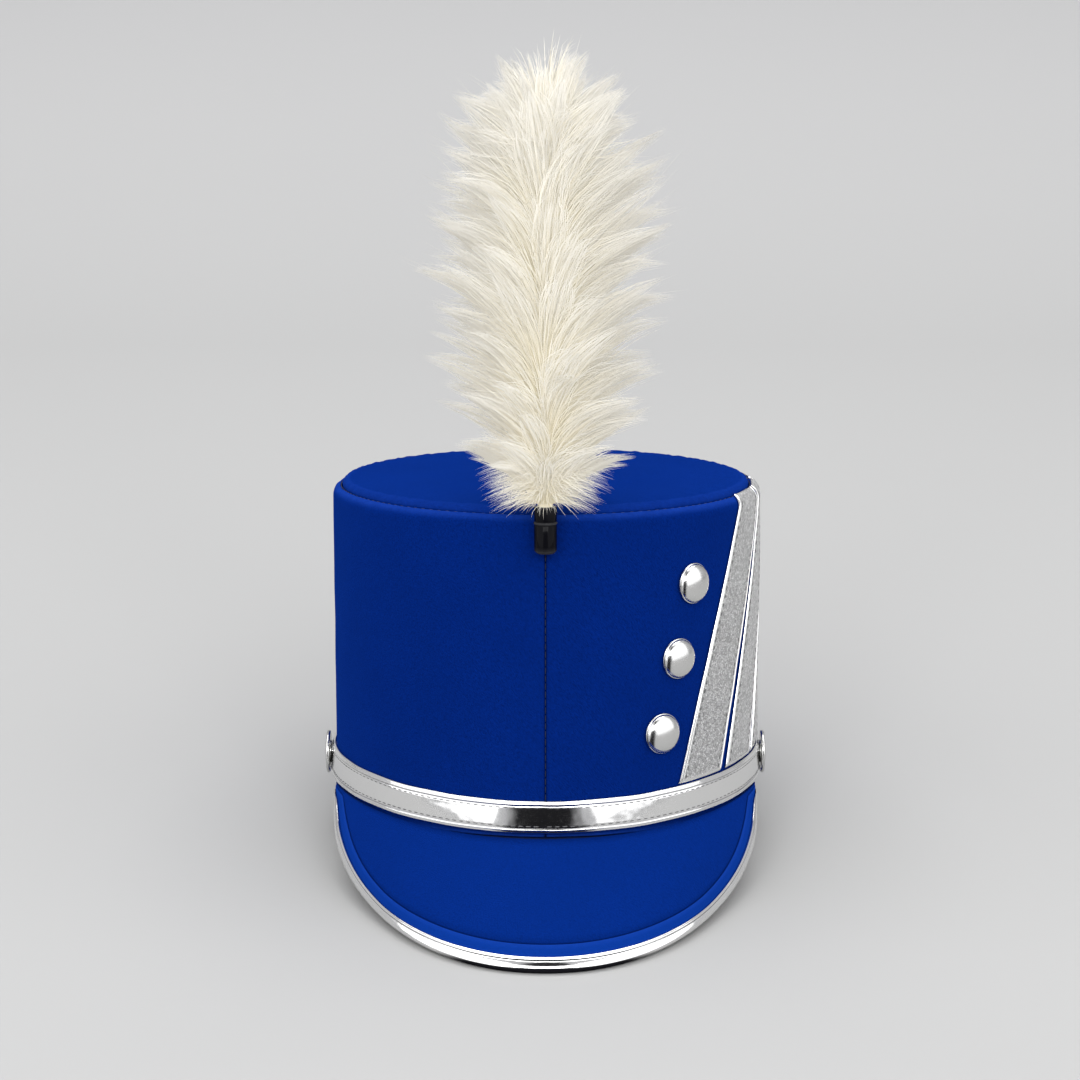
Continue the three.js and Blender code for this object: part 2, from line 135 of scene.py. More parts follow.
LUG_SHARE = 0.42  # the share of its turned length that it keeps
LUG_UP = 5.0
SOCKET_AXIS_Y = -(CROWN_HALF_DEPTH + CROWN_FLARE + GAP + SOCKET_RADIUS)
PLUME_HEIGHT = 188.0
PLUME_REACH = 47.0
PLUME_HEIGHTS = (0.0, 0.07, 0.16, 0.34, 0.58, 0.72, 0.8, 0.88, 0.95, 1.0)
PLUME_REACHES = (0.25, 0.55, 0.78, 0.93, 1.0, 0.98, 0.9, 0.74, 0.52, 0.35)

ROLL_TURN = math.acos(1 - RIM_INSET / RIM_ROLL)
ROLL_START = CROWN_HEIGHT - RIM_ROLL * math.sin(ROLL_TURN)
ROLL_LENGTH = RIM_ROLL * ROLL_TURN
RIM_SEAM_HEIGHT = CROWN_HEIGHT - 0.25
RIM_SEAM_LIFT = -3.65  # the seam beside the top panel lies in from the wall's face


# The crown's outer face

def on_crown(angle, height, lift):
    """Points on the crown's face: angle from the front, height, and lift off the face."""
    angle, height, lift = np.broadcast_arrays(angle, height, lift)
    flare = CROWN_FLARE * height / CROWN_HEIGHT
    x = (CROWN_HALF_WIDTH + flare + lift) * np.sin(angle)
    y = -(CROWN_HALF_DEPTH + flare + lift) * np.cos(angle)
    return np.stack([x, y, height + 0.0 * x], axis=-1)


def on_crown_over_rim(angle, climb, lift):
    """The same, but climbing over the rolled top edge."""
    turn = np.maximum(0.0, climb - ROLL_START) / RIM_ROLL
    height = np.minimum(climb, ROLL_START) + (RIM_ROLL + lift) * np.sin(turn)
    return on_crown(angle, height, (RIM_ROLL + lift) * np.cos(turn) - RIM_ROLL)


TABLE_ANGLES = np.linspace(0.0, 2 * math.pi, 2881)
TABLE_STEPS = np.hypot(
    CROWN_HALF_WIDTH * np.diff(np.sin(TABLE_ANGLES)),
    CROWN_HALF_DEPTH * np.diff(np.cos(TABLE_ANGLES)),
)
TABLE_LENGTHS = np.concatenate([[0.0], np.cumsum(TABLE_STEPS)])


def angle_along(distance):
    """The angle of a point that lies a distance round the rim from the front."""
    return np.interp(np.mod(distance, TABLE_LENGTHS[-1]), TABLE_LENGTHS, TABLE_ANGLES)


def rim_distance(angle):
    """How far round the rim from the front a point at an angle lies."""
    return np.interp(np.mod(angle, 2 * math.pi), TABLE_ANGLES, TABLE_LENGTHS)


def strap_height(angle):
    """The height of the strap's upper edge, which dips in front."""
    return STRAP_TOP - STRAP_DIP * np.maximum(0.0, np.cos(angle)) ** 2


def crown_basis(angle, height):
    """Rows across, up and straight out of the wall, and the point they start from."""
    out = np.array([math.sin(angle) / CROWN_HALF_WIDTH, -math.cos(angle) / CROWN_HALF_DEPTH, 0.0])
    out = out / np.linalg.norm(out)
    up = np.array([0.0, 0.0, 1.0])
    return np.array([np.cross(up, out), up, out]), on_crown(angle, height, 0.0)


def waves(values, seed, lengths):
    """A smooth wander of about +-1 along a closed or long line, from a few sines of given wave lengths."""
    rng = np.random.default_rng(seed)
    total = np.zeros_like(values, dtype=float)
    for length in lengths:
        total += np.sin(2 * math.pi * values / length + rng.uniform(0, 2 * math.pi))
    return total / math.sqrt(len(lengths))


def normalised(vectors):
    return vectors / np.maximum(np.linalg.norm(vectors, axis=-1, keepdims=True), 1e-12)


# Meshes

def loft(rings, ring_closed=True, row_closed=False, capped=True):
    """Joins rows of points (rows, ring, 3) into faces."""
    rows, around = rings.shape[:2]
    index = np.arange(rows * around).reshape(rows, around)
    after = np.roll(index, -1, axis=0) if row_closed else index[1:]
    here = index if row_closed else index[:-1]
    if ring_closed:
        quads = [here, np.roll(here, -1, axis=1), np.roll(after, -1, axis=1), after]
    else:
        quads = [here[:, :-1], here[:, 1:], after[:, 1:], after[:, :-1]]
    faces = np.stack(quads, axis=-1).reshape(-1, 4).tolist()
    if ring_closed and capped and not row_closed:
        faces.append(index[0][::-1].tolist())
        faces.append(index[-1].tolist())
    return rings.reshape(-1, 3), faces


def joined(parts):
    """One set of points and faces from several."""
    points = []
    faces = []
    start = 0
    for part_points, part_faces in parts:
        points.append(part_points)
        faces += [[corner + start for corner in face] for face in part_faces]
        start += len(part_points)
    return np.concatenate(points), faces


def grid_masks(size, **masks):
    """Masks as one value for each point of a grid, from one value, a row of values or a full grid."""
    return {
        name: np.broadcast_to(np.asarray(values, dtype=float), size).ravel()
        for name, values in masks.items()
    }


def add_piece(name, points, faces, look, replaced=(), masks=None, crease=180.0, body="hat", mend=True,
              normals=None):
    """Makes an object from points in the hat's frame, with its finish, hangs it on its body and hides the
    solids it replaces.
    """
    mesh = bpy.data.meshes.new(name)
    mesh.from_pydata(to_world(points).tolist(), [], faces)
    for mask_name, values in (masks or {}).items():
        layer = mesh.attributes.new(mask_name, "FLOAT", "POINT")
        layer.data.foreach_set("value", np.asarray(values, dtype=np.float32).ravel())
    if mend:
        work = bmesh.new()
        work.from_mesh(mesh)
        bmesh.ops.remove_doubles(work, verts=work.verts, dist=1e-6)
        bmesh.ops.recalc_face_normals(work, faces=work.faces)
        work.to_mesh(mesh)
        work.free()
    mesh.shade_smooth()
    if crease < 180:
        mesh.set_sharp_from_angle(angle=math.radians(crease))
    mesh.validate()
    if normals is not None:
        mesh.normals_split_custom_set_from_vertices(normals.tolist())
    mesh.materials.append(finish(look))
    piece = bpy.data.objects.new(name, mesh)
    bpy.context.scene.collection.objects.link(piece)
    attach(piece, body)
    if replaced:
        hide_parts(*replaced)


def turned(profile, sides):
    """A turned form about +z, from rows of radius and height that start and end on the axis."""
    profile = np.asarray(profile, dtype=float)
    turn = np.linspace(0, 2 * math.pi, sides, endpoint=False)
    radius = profile[:, 0][:, None]
    height = np.broadcast_to(profile[:, 1][:, None], (len(profile), sides))
    rings = np.stack([radius * np.cos(turn), radius * np.sin(turn), height], axis=-1)
    return loft(rings, capped=False)


def arc(centre, radii, start, end, steps):
    """Rows of radius and height along an elliptic arc, with its angles in degrees."""
    turn = np.radians(np.linspace(start, end, steps))
    return [(centre[0] + radii[0] * math.cos(t), centre[1] + radii[1] * math.sin(t)) for t in turn]


STITCH_ALONG = np.array([-0.5, -0.42, -0.2, 0.2, 0.42, 0.5])
STITCH_FAT = np.array([0.35, 0.8, 1.0, 1.0, 0.8, 0.35])
STITCH_SUNK = np.array([-1.0, -0.45, 0.0, 0.0, -0.45, -1.0])


def stitches(middles, forwards, outs, length, radius):
    """Short threads that lie on a surface and dive into it at both ends."""
    turn = np.linspace(0, 2 * math.pi, 6, endpoint=False)
    forwards = normalised(forwards)
    outs = normalised(outs)
    sides = np.cross(outs, forwards)
    spine = (
        middles[:, None]
        + forwards[:, None] * (STITCH_ALONG * length)[None, :, None]
        + outs[:, None] * (STITCH_SUNK * radius)[None, :, None]
    )
    ring = (
        sides[:, None, None] * np.cos(turn)[None, None, :, None]
        + outs[:, None, None] * np.sin(turn)[None, None, :, None]
    )
    rings = spine[:, :, None] + ring * (STITCH_FAT * radius)[None, :, None, None]
    return joined([loft(one) for one in rings])


# Materials

def node(tree, kind, values=None, links=None, **settings):
    item = tree.nodes.new(kind)
    for key, value in settings.items():
        setattr(item, key, value)
    for key, value in (values or {}).items():
        item.inputs[key].default_value = value
    for key, socket in (links or {}).items():
        tree.links.new(socket, item.inputs[key])
    return item


def group(name, inputs, outputs):
    """A shader node group with named float sockets, and its two end nodes."""
    tree = bpy.data.node_groups.new(name, "ShaderNodeTree")
    for socket, value in inputs.items():
        item = tree.interface.new_socket(socket, in_out="INPUT", socket_type="NodeSocketFloat")
        item.default_value = value
    for socket in outputs:
        tree.interface.new_socket(socket, in_out="OUTPUT", socket_type="NodeSocketFloat")
    return tree, tree.nodes.new("NodeGroupInput"), tree.nodes.new("NodeGroupOutput")


def feed(tree, value, socket):
    """Gives a socket a number, a colour or the output of another node."""
    if isinstance(value, (int, float)):
        socket.default_value = value
    elif isinstance(value, (tuple, list)):
        socket.default_value = (*value[:3], 1.0)
    else:
        tree.links.new(value, socket)


def math_node(tree, operation, first, second=None, clamp=False):
    item = node(tree, "ShaderNodeMath", operation=operation, use_clamp=clamp)
    feed(tree, first, item.inputs[0])
    if second is not None:
        feed(tree, second, item.inputs[1])
    return item.outputs[0]


def times(tree, first, second, clamp=False):
    return math_node(tree, "MULTIPLY", first, second, clamp)


def vector_node(tree, operation, first, second=None):
    links = {0: first} if second is None else {0: first, 1: second}
    return node(tree, "ShaderNodeVectorMath", None, links, operation=operation)


def blend(tree, factor, first, second):
    """One colour laid over another by a factor."""
    item = node(tree, "ShaderNodeMix", data_type="RGBA")
    # Sockets 6 and 7 are the node's two colours
    for index, value in ((0, factor), (6, first), (7, second)):
        feed(tree, value, item.inputs[index])
    return item.outputs[2]


def ranged(tree, value, low, high, to_low=0.0, to_high=1.0, **settings):
    """A value moved from one range to another, and held at its ends."""
    ends = {"From Min": low, "From Max": high, "To Min": to_low, "To Max": to_high}
    return node(tree, "ShaderNodeMapRange", ends, {"Value": value}, **settings).outputs[0]


def noise(tree, place, scale, detail, roughness=0.5):
    item = node(tree, "ShaderNodeTexNoise", {"Detail": detail, "Roughness": roughness}, {"Vector": place})
    feed(tree, scale, item.inputs["Scale"])
    return item.outputs


def place_on(tree):
    """Where a point lies on its own object, in metres."""
    return node(tree, "ShaderNodeTexCoord").outputs["Object"]


def mask_value(tree, name):
    return node(tree, "ShaderNodeAttribute", attribute_name=name).outputs["Fac"]


def shade(colour, share, added=0.0):
    """A colour made darker or lighter."""
    return tuple(min(1.0, share * value + added) for value in colour)


def fibre_grain_group():
    """Short fibres that lie one way: a tone, a height and a slow mottle, from a fibre's width and stretch."""
    if "fibre_grain" in bpy.data.node_groups:
        return bpy.data.node_groups["fibre_grain"]
    tree, start, end = group("fibre_grain", {"Size": 0.0006, "Length": 3.0}, ("Tone", "Height", "Mottle"))
    place = place_on(tree)
    scale = math_node(tree, "DIVIDE", 1.0, start.outputs["Size"])
    slant = {"Rotation": (0.0, math.radians(38), math.radians(12))}
    lying = node(tree, "ShaderNodeMapping", slant, {"Vector": place}).outputs[0]
    stretch = node(tree, "ShaderNodeCombineXYZ", {"X": 1.0, "Y": 1.0})
    feed(tree, math_node(tree, "DIVIDE", 1.0, start.outputs["Length"]), stretch.inputs["Z"])
    drawn = vector_node(tree, "MULTIPLY", lying, stretch.outputs[0]).outputs[0]
    fibres = times(tree, noise(tree, drawn, scale, 3.0, 0.6)["Fac"], 0.65)
    specks = times(tree, noise(tree, place, scale, 2.0, 0.7)["Fac"], 0.35)
    mixed = math_node(tree, "ADD", fibres, specks)
    blotch = noise(tree, place, 28.0, 4.0, 0.55)["Fac"]
    feed(tree, ranged(tree, mixed, 0.3, 0.7), end.inputs["Tone"])
    feed(tree, mixed, end.inputs["Height"])
    feed(tree, ranged(tree, blotch, 0.3, 0.7), end.inputs["Mottle"])
    return tree


def rubbed_edge_group():
    """Breaks an edge mask up with noise: mask in, broken mask out, for wear from handling and for painted
    highlights on edges.
    """
    if "rubbed_edge" in bpy.data.node_groups:
        return bpy.data.node_groups["rubbed_edge"]
    tree, start, end = group("rubbed_edge", {"Mask": 0.0, "Patch": 0.004, "Amount": 1.0}, ("Worn_and_lit",))
    scale = math_node(tree, "DIVIDE", 1.0, start.outputs["Patch"])
    patches = noise(tree, place_on(tree), scale, 4.0, 0.65)["Fac"]
    broken = math_node(tree, "ADD", times(tree, patches, 0.9), 0.35)
    worn_and_lit = times(tree, start.outputs["Mask"], broken)
    feed(tree, times(tree, worn_and_lit, start.outputs["Amount"], True), end.inputs["Worn_and_lit"])
    return tree


def soft_wrinkle_group():
    """Slow wrinkles and fine scuffs of a thin coated sheet: a height and a scuff mask."""
    if "soft_wrinkle" in bpy.data.node_groups:
        return bpy.data.node_groups["soft_wrinkle"]
    tree, start, end = group("soft_wrinkle", {"Wrinkle": 0.012, "Scuff": 0.0009}, ("Height", "Scuffs"))
    place = place_on(tree)
    slow_scale = math_node(tree, "DIVIDE", 1.0, start.outputs["Wrinkle"])
    fine_scale = math_node(tree, "DIVIDE", 1.0, start.outputs["Scuff"])
    scuffs = noise(tree, place, fine_scale, 3.0, 0.7)["Fac"]
    feed(tree, noise(tree, place, slow_scale, 2.0, 0.4)["Fac"], end.inputs["Height"])
    feed(tree, ranged(tree, scuffs, 0.55, 0.8), end.inputs["Scuffs"])
    return tree


def new_material(name):
    material = bpy.data.materials.new(name)
    material.use_nodes = True
    tree = material.node_tree
    return material, tree, tree.nodes["Principled BSDF"]


def use_group(tree, group_tree, values, links=None):
    return node(tree, "ShaderNodeGroup", values, links, node_tree=group_tree).outputs


def dress(tree, shader, base, roughness, relief=None, **sockets):
    """Gives a shader its colour, roughness, relief (height, strength, distance) and other values."""
    feed(tree, base, shader.inputs["Base Color"])
    feed(tree, roughness, shader.inputs["Roughness"])
    if relief is not None:
        height, strength, distance = relief
        bump = node(tree, "ShaderNodeBump", {"Strength": strength, "Distance": distance}, {"Height": height})
        feed(tree, bump.outputs[0], shader.inputs["Normal"])
    for name, value in sockets.items():
        shader.inputs[name.replace("_", " ")].default_value = value


def felt_material():
    """Napped felt: lighter on rubbed edges, as wear and as a painted highlight, and on the border, whose
    lighter colour the whole visor also takes in part as painted light; painted shade darkens the seams and
    the recesses beside them; plain lining inside.
    """
    sizes = bpy.context.scene.shako_felt
    material, tree, shader = new_material("napped_felt")
    grain = use_group(tree, fibre_grain_group(), {"Size": sizes.grain_size, "Length": 3.2})
    colour = tuple(sizes.colour)
    border_colour = tuple(sizes.border_colour)
    rub = {"Mask": mask_value(tree, "rub")}
    worn_and_lit = use_group(tree, rubbed_edge_group(), {"Patch": 0.003, "Amount": 0.4}, rub)
    base = blend(tree, grain["Tone"], shade(colour, 0.62), shade(colour, 1.45))
    base = blend(tree, times(tree, grain["Mottle"], 0.3), base, shade(colour, 0.75))
    # The border mask also carries painted light: the whole visor takes a share of the border's lighter
    # colour.
    base = blend(tree, times(tree, mask_value(tree, "border"), 0.8), base, border_colour)
    # Painted highlight and wear: rubbed edges and the puff beside the top seam turn lighter.
    base = blend(tree, worn_and_lit["Worn_and_lit"], base, shade(border_colour, 1.9, 0.01))
    # Painted shade: seams and the recesses and grooves beside them turn dark.
    base = blend(tree, mask_value(tree, "seam"), base, shade(colour, 0.12))
    base = blend(tree, mask_value(tree, "lining"), base, tuple(sizes.lining_colour))
    roughness = ranged(tree, grain["Tone"], 0.0, 1.0, 0.82, 0.98)
    dress(tree, shader, base, roughness, (grain["Height"], 0.7, 0.0006), Specular_IOR_Level=0.0,
          Sheen_Weight=sizes.sheen, Sheen_Roughness=0.45, Sheen_Tint=(0.03, 0.16, 1.0, 1.0))
    return material


def thread_material(name, width, dark, light, roughness):
    """Machine thread with a twisted ply, between a dark and a light tone."""
    material, tree, shader = new_material(name)
    grain = use_group(tree, fibre_grain_group(), {"Size": width, "Length": 4.0})
    base = blend(tree, grain["Tone"], dark, light)
    dress(tree, shader, base, roughness, (grain["Height"], 0.5, 0.0002))
    return material


def dark_thread_material():
    """Blue-black thread for the felt's seams."""
    return thread_material("seam_thread", 0.0003, (0.0006, 0.002, 0.012), (0.002, 0.008, 0.05), 0.7)


def pale_thread_material():
    """Grey thread for the silver trim."""
    return thread_material("trim_thread", 0.00025, (0.04, 0.04, 0.043), (0.13, 0.13, 0.135), 0.5)


def mirror_material():
    """Mirror-finish silver sheet: soft wrinkles, faint scuffs, and a dark line of painted shade along its
    pressed grooves.
    """
    sizes = bpy.context.scene.shako_trim
    material, tree, shader = new_material("mirror_sheet")
    wrinkle = use_group(tree, soft_wrinkle_group(), {"Wrinkle": 0.011, "Scuff": 0.0011})
    base = blend(tree, times(tree, wrinkle["Scuffs"], 0.25), tuple(sizes.silver_colour), (0.62, 0.62, 0.63))
    # Painted shade: the pressed grooves turn dark.
    base = blend(tree, times(tree, mask_value(tree, "groove"), 0.75), base, (0.13, 0.13, 0.14))
    smooth = sizes.silver_roughness
    roughness = ranged(tree, wrinkle["Scuffs"], 0.0, 1.0, smooth, smooth + 0.12)
    dress(tree, shader, base, roughness, (wrinkle["Height"], 0.07, 0.004), Metallic=1.0)
    return material


def crackled_material():
    """Crackled metallic sheet: flakes with dark cracks between, and smooth bright folds at its edges."""
    sizes = bpy.context.scene.shako_trim
    material, tree, shader = new_material("crackled_sheet")
    place = place_on(tree)
    scale = 1.0 / sizes.crackle_size
    shift = vector_node(tree, "SCALE", noise(tree, place, 900.0, 2.0)["Color"])
    shift.inputs["Scale"].default_value = 0.0006
    wandered = vector_node(tree, "ADD", place, shift.outputs[0]).outputs[0]
    cells = {"Scale": scale}
    edges = node(tree, "ShaderNodeTexVoronoi", cells, {"Vector": wandered}, feature="DISTANCE_TO_EDGE")
    flakes = node(tree, "ShaderNodeTexVoronoi", cells, {"Vector": wandered})
    grain = noise(tree, place, 2.5 * scale, 3.0)["Fac"]
    field = math_node(tree, "SUBTRACT", 1.0, mask_value(tree, "fold"), True)
    crack = ranged(tree, edges.outputs["Distance"], 0.0, 0.12, 1.0, 0.0)
    tint = node(tree, "ShaderNodeSeparateColor", None, {0: flakes.outputs["Color"]}).outputs[0]
    tone = ranged(tree, tint, 0.0, 1.0, 0.34, 0.84)
    flake_colour = node(tree, "ShaderNodeCombineColor", None, {0: tone, 1: tone, 2: tone}).outputs[0]
    base = blend(tree, times(tree, field, 0.75), tuple(sizes.silver_colour), flake_colour)
    base = blend(tree, times(tree, times(tree, crack, field), 0.7), base, (0.16, 0.16, 0.165))
    # Painted shade: a dark line between each edge's folds.
    base = blend(tree, times(tree, mask_value(tree, "groove"), 0.7), base, (0.12, 0.12, 0.13))
    roughness = ranged(tree, field, 0.0, 1.0, 0.16, 0.42)
    height = times(tree, field, math_node(tree, "SUBTRACT", grain, crack))
    dress(tree, shader, base, roughness, (height, 0.9, 0.0004), Metallic=1.0)
    return material


def chrome_material():
    """Polished chrome with fine wipe marks, and painted shade darkening the step behind a button's rim."""
    material, tree, shader = new_material("polished_chrome")
    wrinkle = use_group(tree, soft_wrinkle_group(), {"Wrinkle": 0.02, "Scuff": 0.0005})
    base = blend(tree, times(tree, wrinkle["Scuffs"], 0.2), (0.64, 0.64, 0.63), (0.5, 0.5, 0.5))
    # Painted shade: the step behind the rim turns dark.
    base = blend(tree, times(tree, mask_value(tree, "groove"), 0.8), base, (0.08, 0.08, 0.085))
    roughness = ranged(tree, wrinkle["Scuffs"], 0.0, 1.0, 0.2, 0.32)
    dress(tree, shader, base, roughness, (wrinkle["Height"], 0.05, 0.001), Metallic=1.0)
    return material


def lacquer_material():
    """Gloss black lacquer over a turned socket, grey on its lip, ring and bottom bevel, partly as rubbed wear
    and partly as painted glints.
    """
    material, tree, shader = new_material("gloss_lacquer")
    wrinkle = use_group(tree, soft_wrinkle_group(), {"Wrinkle": 0.006, "Scuff": 0.0006})
    rub = {"Mask": mask_value(tree, "rub")}
    worn_and_lit = use_group(tree, rubbed_edge_group(), {"Patch": 0.0015, "Amount": 0.35}, rub)
    # Painted highlight, with wear: the rubbed places turn grey like glints.
    base = blend(tree, worn_and_lit["Worn_and_lit"], (0.0035, 0.0035, 0.005), (0.09, 0.09, 0.095))
    roughness = ranged(tree, wrinkle["Scuffs"], 0.0, 1.0, 0.1, 0.3)
    dress(tree, shader, base, roughness, (wrinkle["Height"], 0.06, 0.0015), Specular_IOR_Level=0.05)
    return material


def feather_material():
    """Soft barbs: warm cream down at the quill, near white at their tips, each a little its own tone, and a
    painted glow of their own colour.
    """
    sizes = bpy.context.scene.shako_plume
    material, tree, shader = new_material("soft_feather")
    grain = use_group(tree, fibre_grain_group(), {"Size": 0.0008, "Length": 2.0})
    base = blend(tree, mask_value(tree, "reach"), tuple(sizes.quill_colour), tuple(sizes.tip_colour))
    base = blend(tree, times(tree, mask_value(tree, "own_tone"), 0.22), base, (0.52, 0.47, 0.36))
    base = blend(tree, times(tree, grain["Tone"], 0.08), base, (0.5, 0.46, 0.38))
    # Painted light: the barbs glow with their own colour, in place of light scattered deep through the plume.
    feed(tree, base, shader.inputs["Emission Color"])
    dress(tree, shader, base, 0.7, (grain["Height"], 0.2, 0.0003),
          Specular_IOR_Level=0.12, Emission_Strength=0.36)
    return material


def front_band(tree, place):
    """A mask for the narrow sector in front of the hat, where the photographer's side is unlit."""
    parts = node(tree, "ShaderNodeSeparateXYZ", None, {0: place}).outputs
    ahead = math_node(tree, "MAXIMUM", times(tree, parts["Y"], -1.0), 0.01)
    share = math_node(tree, "DIVIDE", math_node(tree, "ABSOLUTE", parts["X"]), ahead)
    return ranged(tree, share, 0.42, 0.26, interpolation_type="SMOOTHSTEP")


def floor_material():
    """Matt pale floor, paler far behind the hat. Reflections see it unlit in the sector in front."""
    colour = tuple(bpy.context.scene.shako_stage.floor_colour)
    material, tree, shader = new_material("pale_floor")
    place = place_on(tree)
    behind = node(tree, "ShaderNodeSeparateXYZ", None, {0: place}).outputs["Y"]
    reflected = node(tree, "ShaderNodeLightPath").outputs["Is Glossy Ray"]
    base = blend(tree, noise(tree, place, 3.0, 3.0)["Fac"], colour, shade(colour, 0.985))
    base = blend(tree, ranged(tree, behind, 0.8, 5.0), base, (0.93, 0.93, 0.93))
    base = blend(tree, times(tree, front_band(tree, place), reflected), base, (0.008, 0.008, 0.01))
    dress(tree, shader, base, 0.9, Specular_IOR_Level=0.0)
    return material


MATERIALS = {
    "napped_felt": felt_material,
    "seam_thread": dark_thread_material,
    "trim_thread": pale_thread_material,
    "mirror_sheet": mirror_material,
    "crackled_sheet": crackled_material,
    "polished_chrome": chrome_material,
    "gloss_lacquer": lacquer_material,
    "soft_feather": feather_material,
    "pale_floor": floor_material,
}


def finish(name):
    """The named material, made the first time it is asked for."""
    return bpy.data.materials.get(name) or MATERIALS[name]()


# Crown

def wall_section():
    """Rows of the wall's closed section (lift, height, rub mask: wear and a painted highlight), and which are
    outside, seam (painted shade in the recess under the roll) and inside.
    """
    rows = [(-1.25, 0.0, 0.3), (-0.5, 0.02, 0.7), (-0.12, 0.16, 1.0), (0.0, 0.6, 1.0)]
    rows += [(0.0, h, 0.25 if h < 2 else 0.0) for h in (1.5, 3.0)]
    rows += [(0.0, h, 0.0) for h in np.linspace(7.0, ROLL_START - 1.0, 30)]
    # Up the rolled edge the rub mask grows: wear, and a painted highlight along the edge's crest.
    for turn in np.linspace(0.0, ROLL_TURN, 9):
        rub = float(np.clip((turn - 0.35) / 0.5, 0, 1))
        height = ROLL_START + RIM_ROLL * math.sin(turn)
        rows.append((RIM_ROLL * math.cos(turn) - RIM_ROLL, height, 0.85 * rub))
    outside = len(rows)
    # These rows lie in the recess under the roll, beside the top panel's seam; the seam mask paints them dark
    # as painted shade.
    rows += [(-3.55, 136.93, 0.3), (-3.85, 136.5, 0.0), (-4.0, 135.7, 0.0), (-4.0, 134.75, 0.0)]
    seam = len(rows)
    for turn in np.linspace(ROLL_TURN, 0.0, 4):
        thin = RIM_ROLL - FELT_WALL
        rows.append((thin * math.cos(turn) - RIM_ROLL, ROLL_START + thin * math.sin(turn), 0.0))
    rows += [(-FELT_WALL, h, 0.0) for h in (100.0, 66.0, 33.0, 6.0)]
    rows += [(-FELT_WALL, 0.5, 0.0), (-2.3, 0.08, 0.0)]
    rows = np.array(rows)
    order = np.arange(len(rows))
    return rows, (order < outside), (order >= outside) & (order < seam), order >= seam


def crown_angles():
    """Columns round the crown, close together beside the front seam."""
    fine = np.array([0.003, 0.006, 0.009, 0.013, 0.018, 0.026, 0.038])
    near = np.concatenate([-fine[::-1], [0.0], fine])
    rest = np.linspace(0.055, 2 * math.pi - 0.055, 210)
    return np.concatenate([near, rest])


def make_crown_wall():
    """The felt wall with its seam in front, its rolled top edge and its lining."""
    rows, outside, seam_rows, inside = wall_section()
    angle = crown_angles()[:, None]
    lift = rows[:, 0][None, :]
    height = rows[:, 1][None, :]
    across = CROWN_HALF_WIDTH * np.sin(angle)
    front = (np.cos(angle) > 0) & (np.abs(across) < 8)
    on_outside = outside[None, :].astype(float)
    valley = np.where(front, np.exp(-((across / 0.55) ** 2)), 0.0) * on_outside
    puff = np.where(front, 0.22 * np.exp(-(((np.abs(across) - 2.6) / 1.6) ** 2)), 0.0) * on_outside
    round_rim = rim_distance(angle)
    uneven = 0.1 * waves(round_rim + 0.35 * height, 3, (41.0, 67.0, 23.0)) * waves(height, 5, (53.0, 31.0))
    pucker = 0.16 * waves(round_rim, 11, (9.3, 13.1, 6.7)) * np.clip((height - 132.0) / 4.0, 0, 1)
    lift = lift + (uneven + pucker) * on_outside - SEAM_DEPTH * valley + puff
    points, faces = loft(on_crown(angle, height, lift), row_closed=True)
    # Painted shade: the recess under the roll and the front seam's valley turn dark; in the valley this is
    # partly the seam's own dark joint.
    seam = np.maximum(0.9 * seam_rows, 0.85 * valley ** 2)
    masks = grid_masks((len(angle), len(rows)), rub=rows[:, 2], seam=seam, lining=inside, border=0.0)
    add_piece("crown_felt", points, faces, "napped_felt", ["crown_wall"], masks, 70)


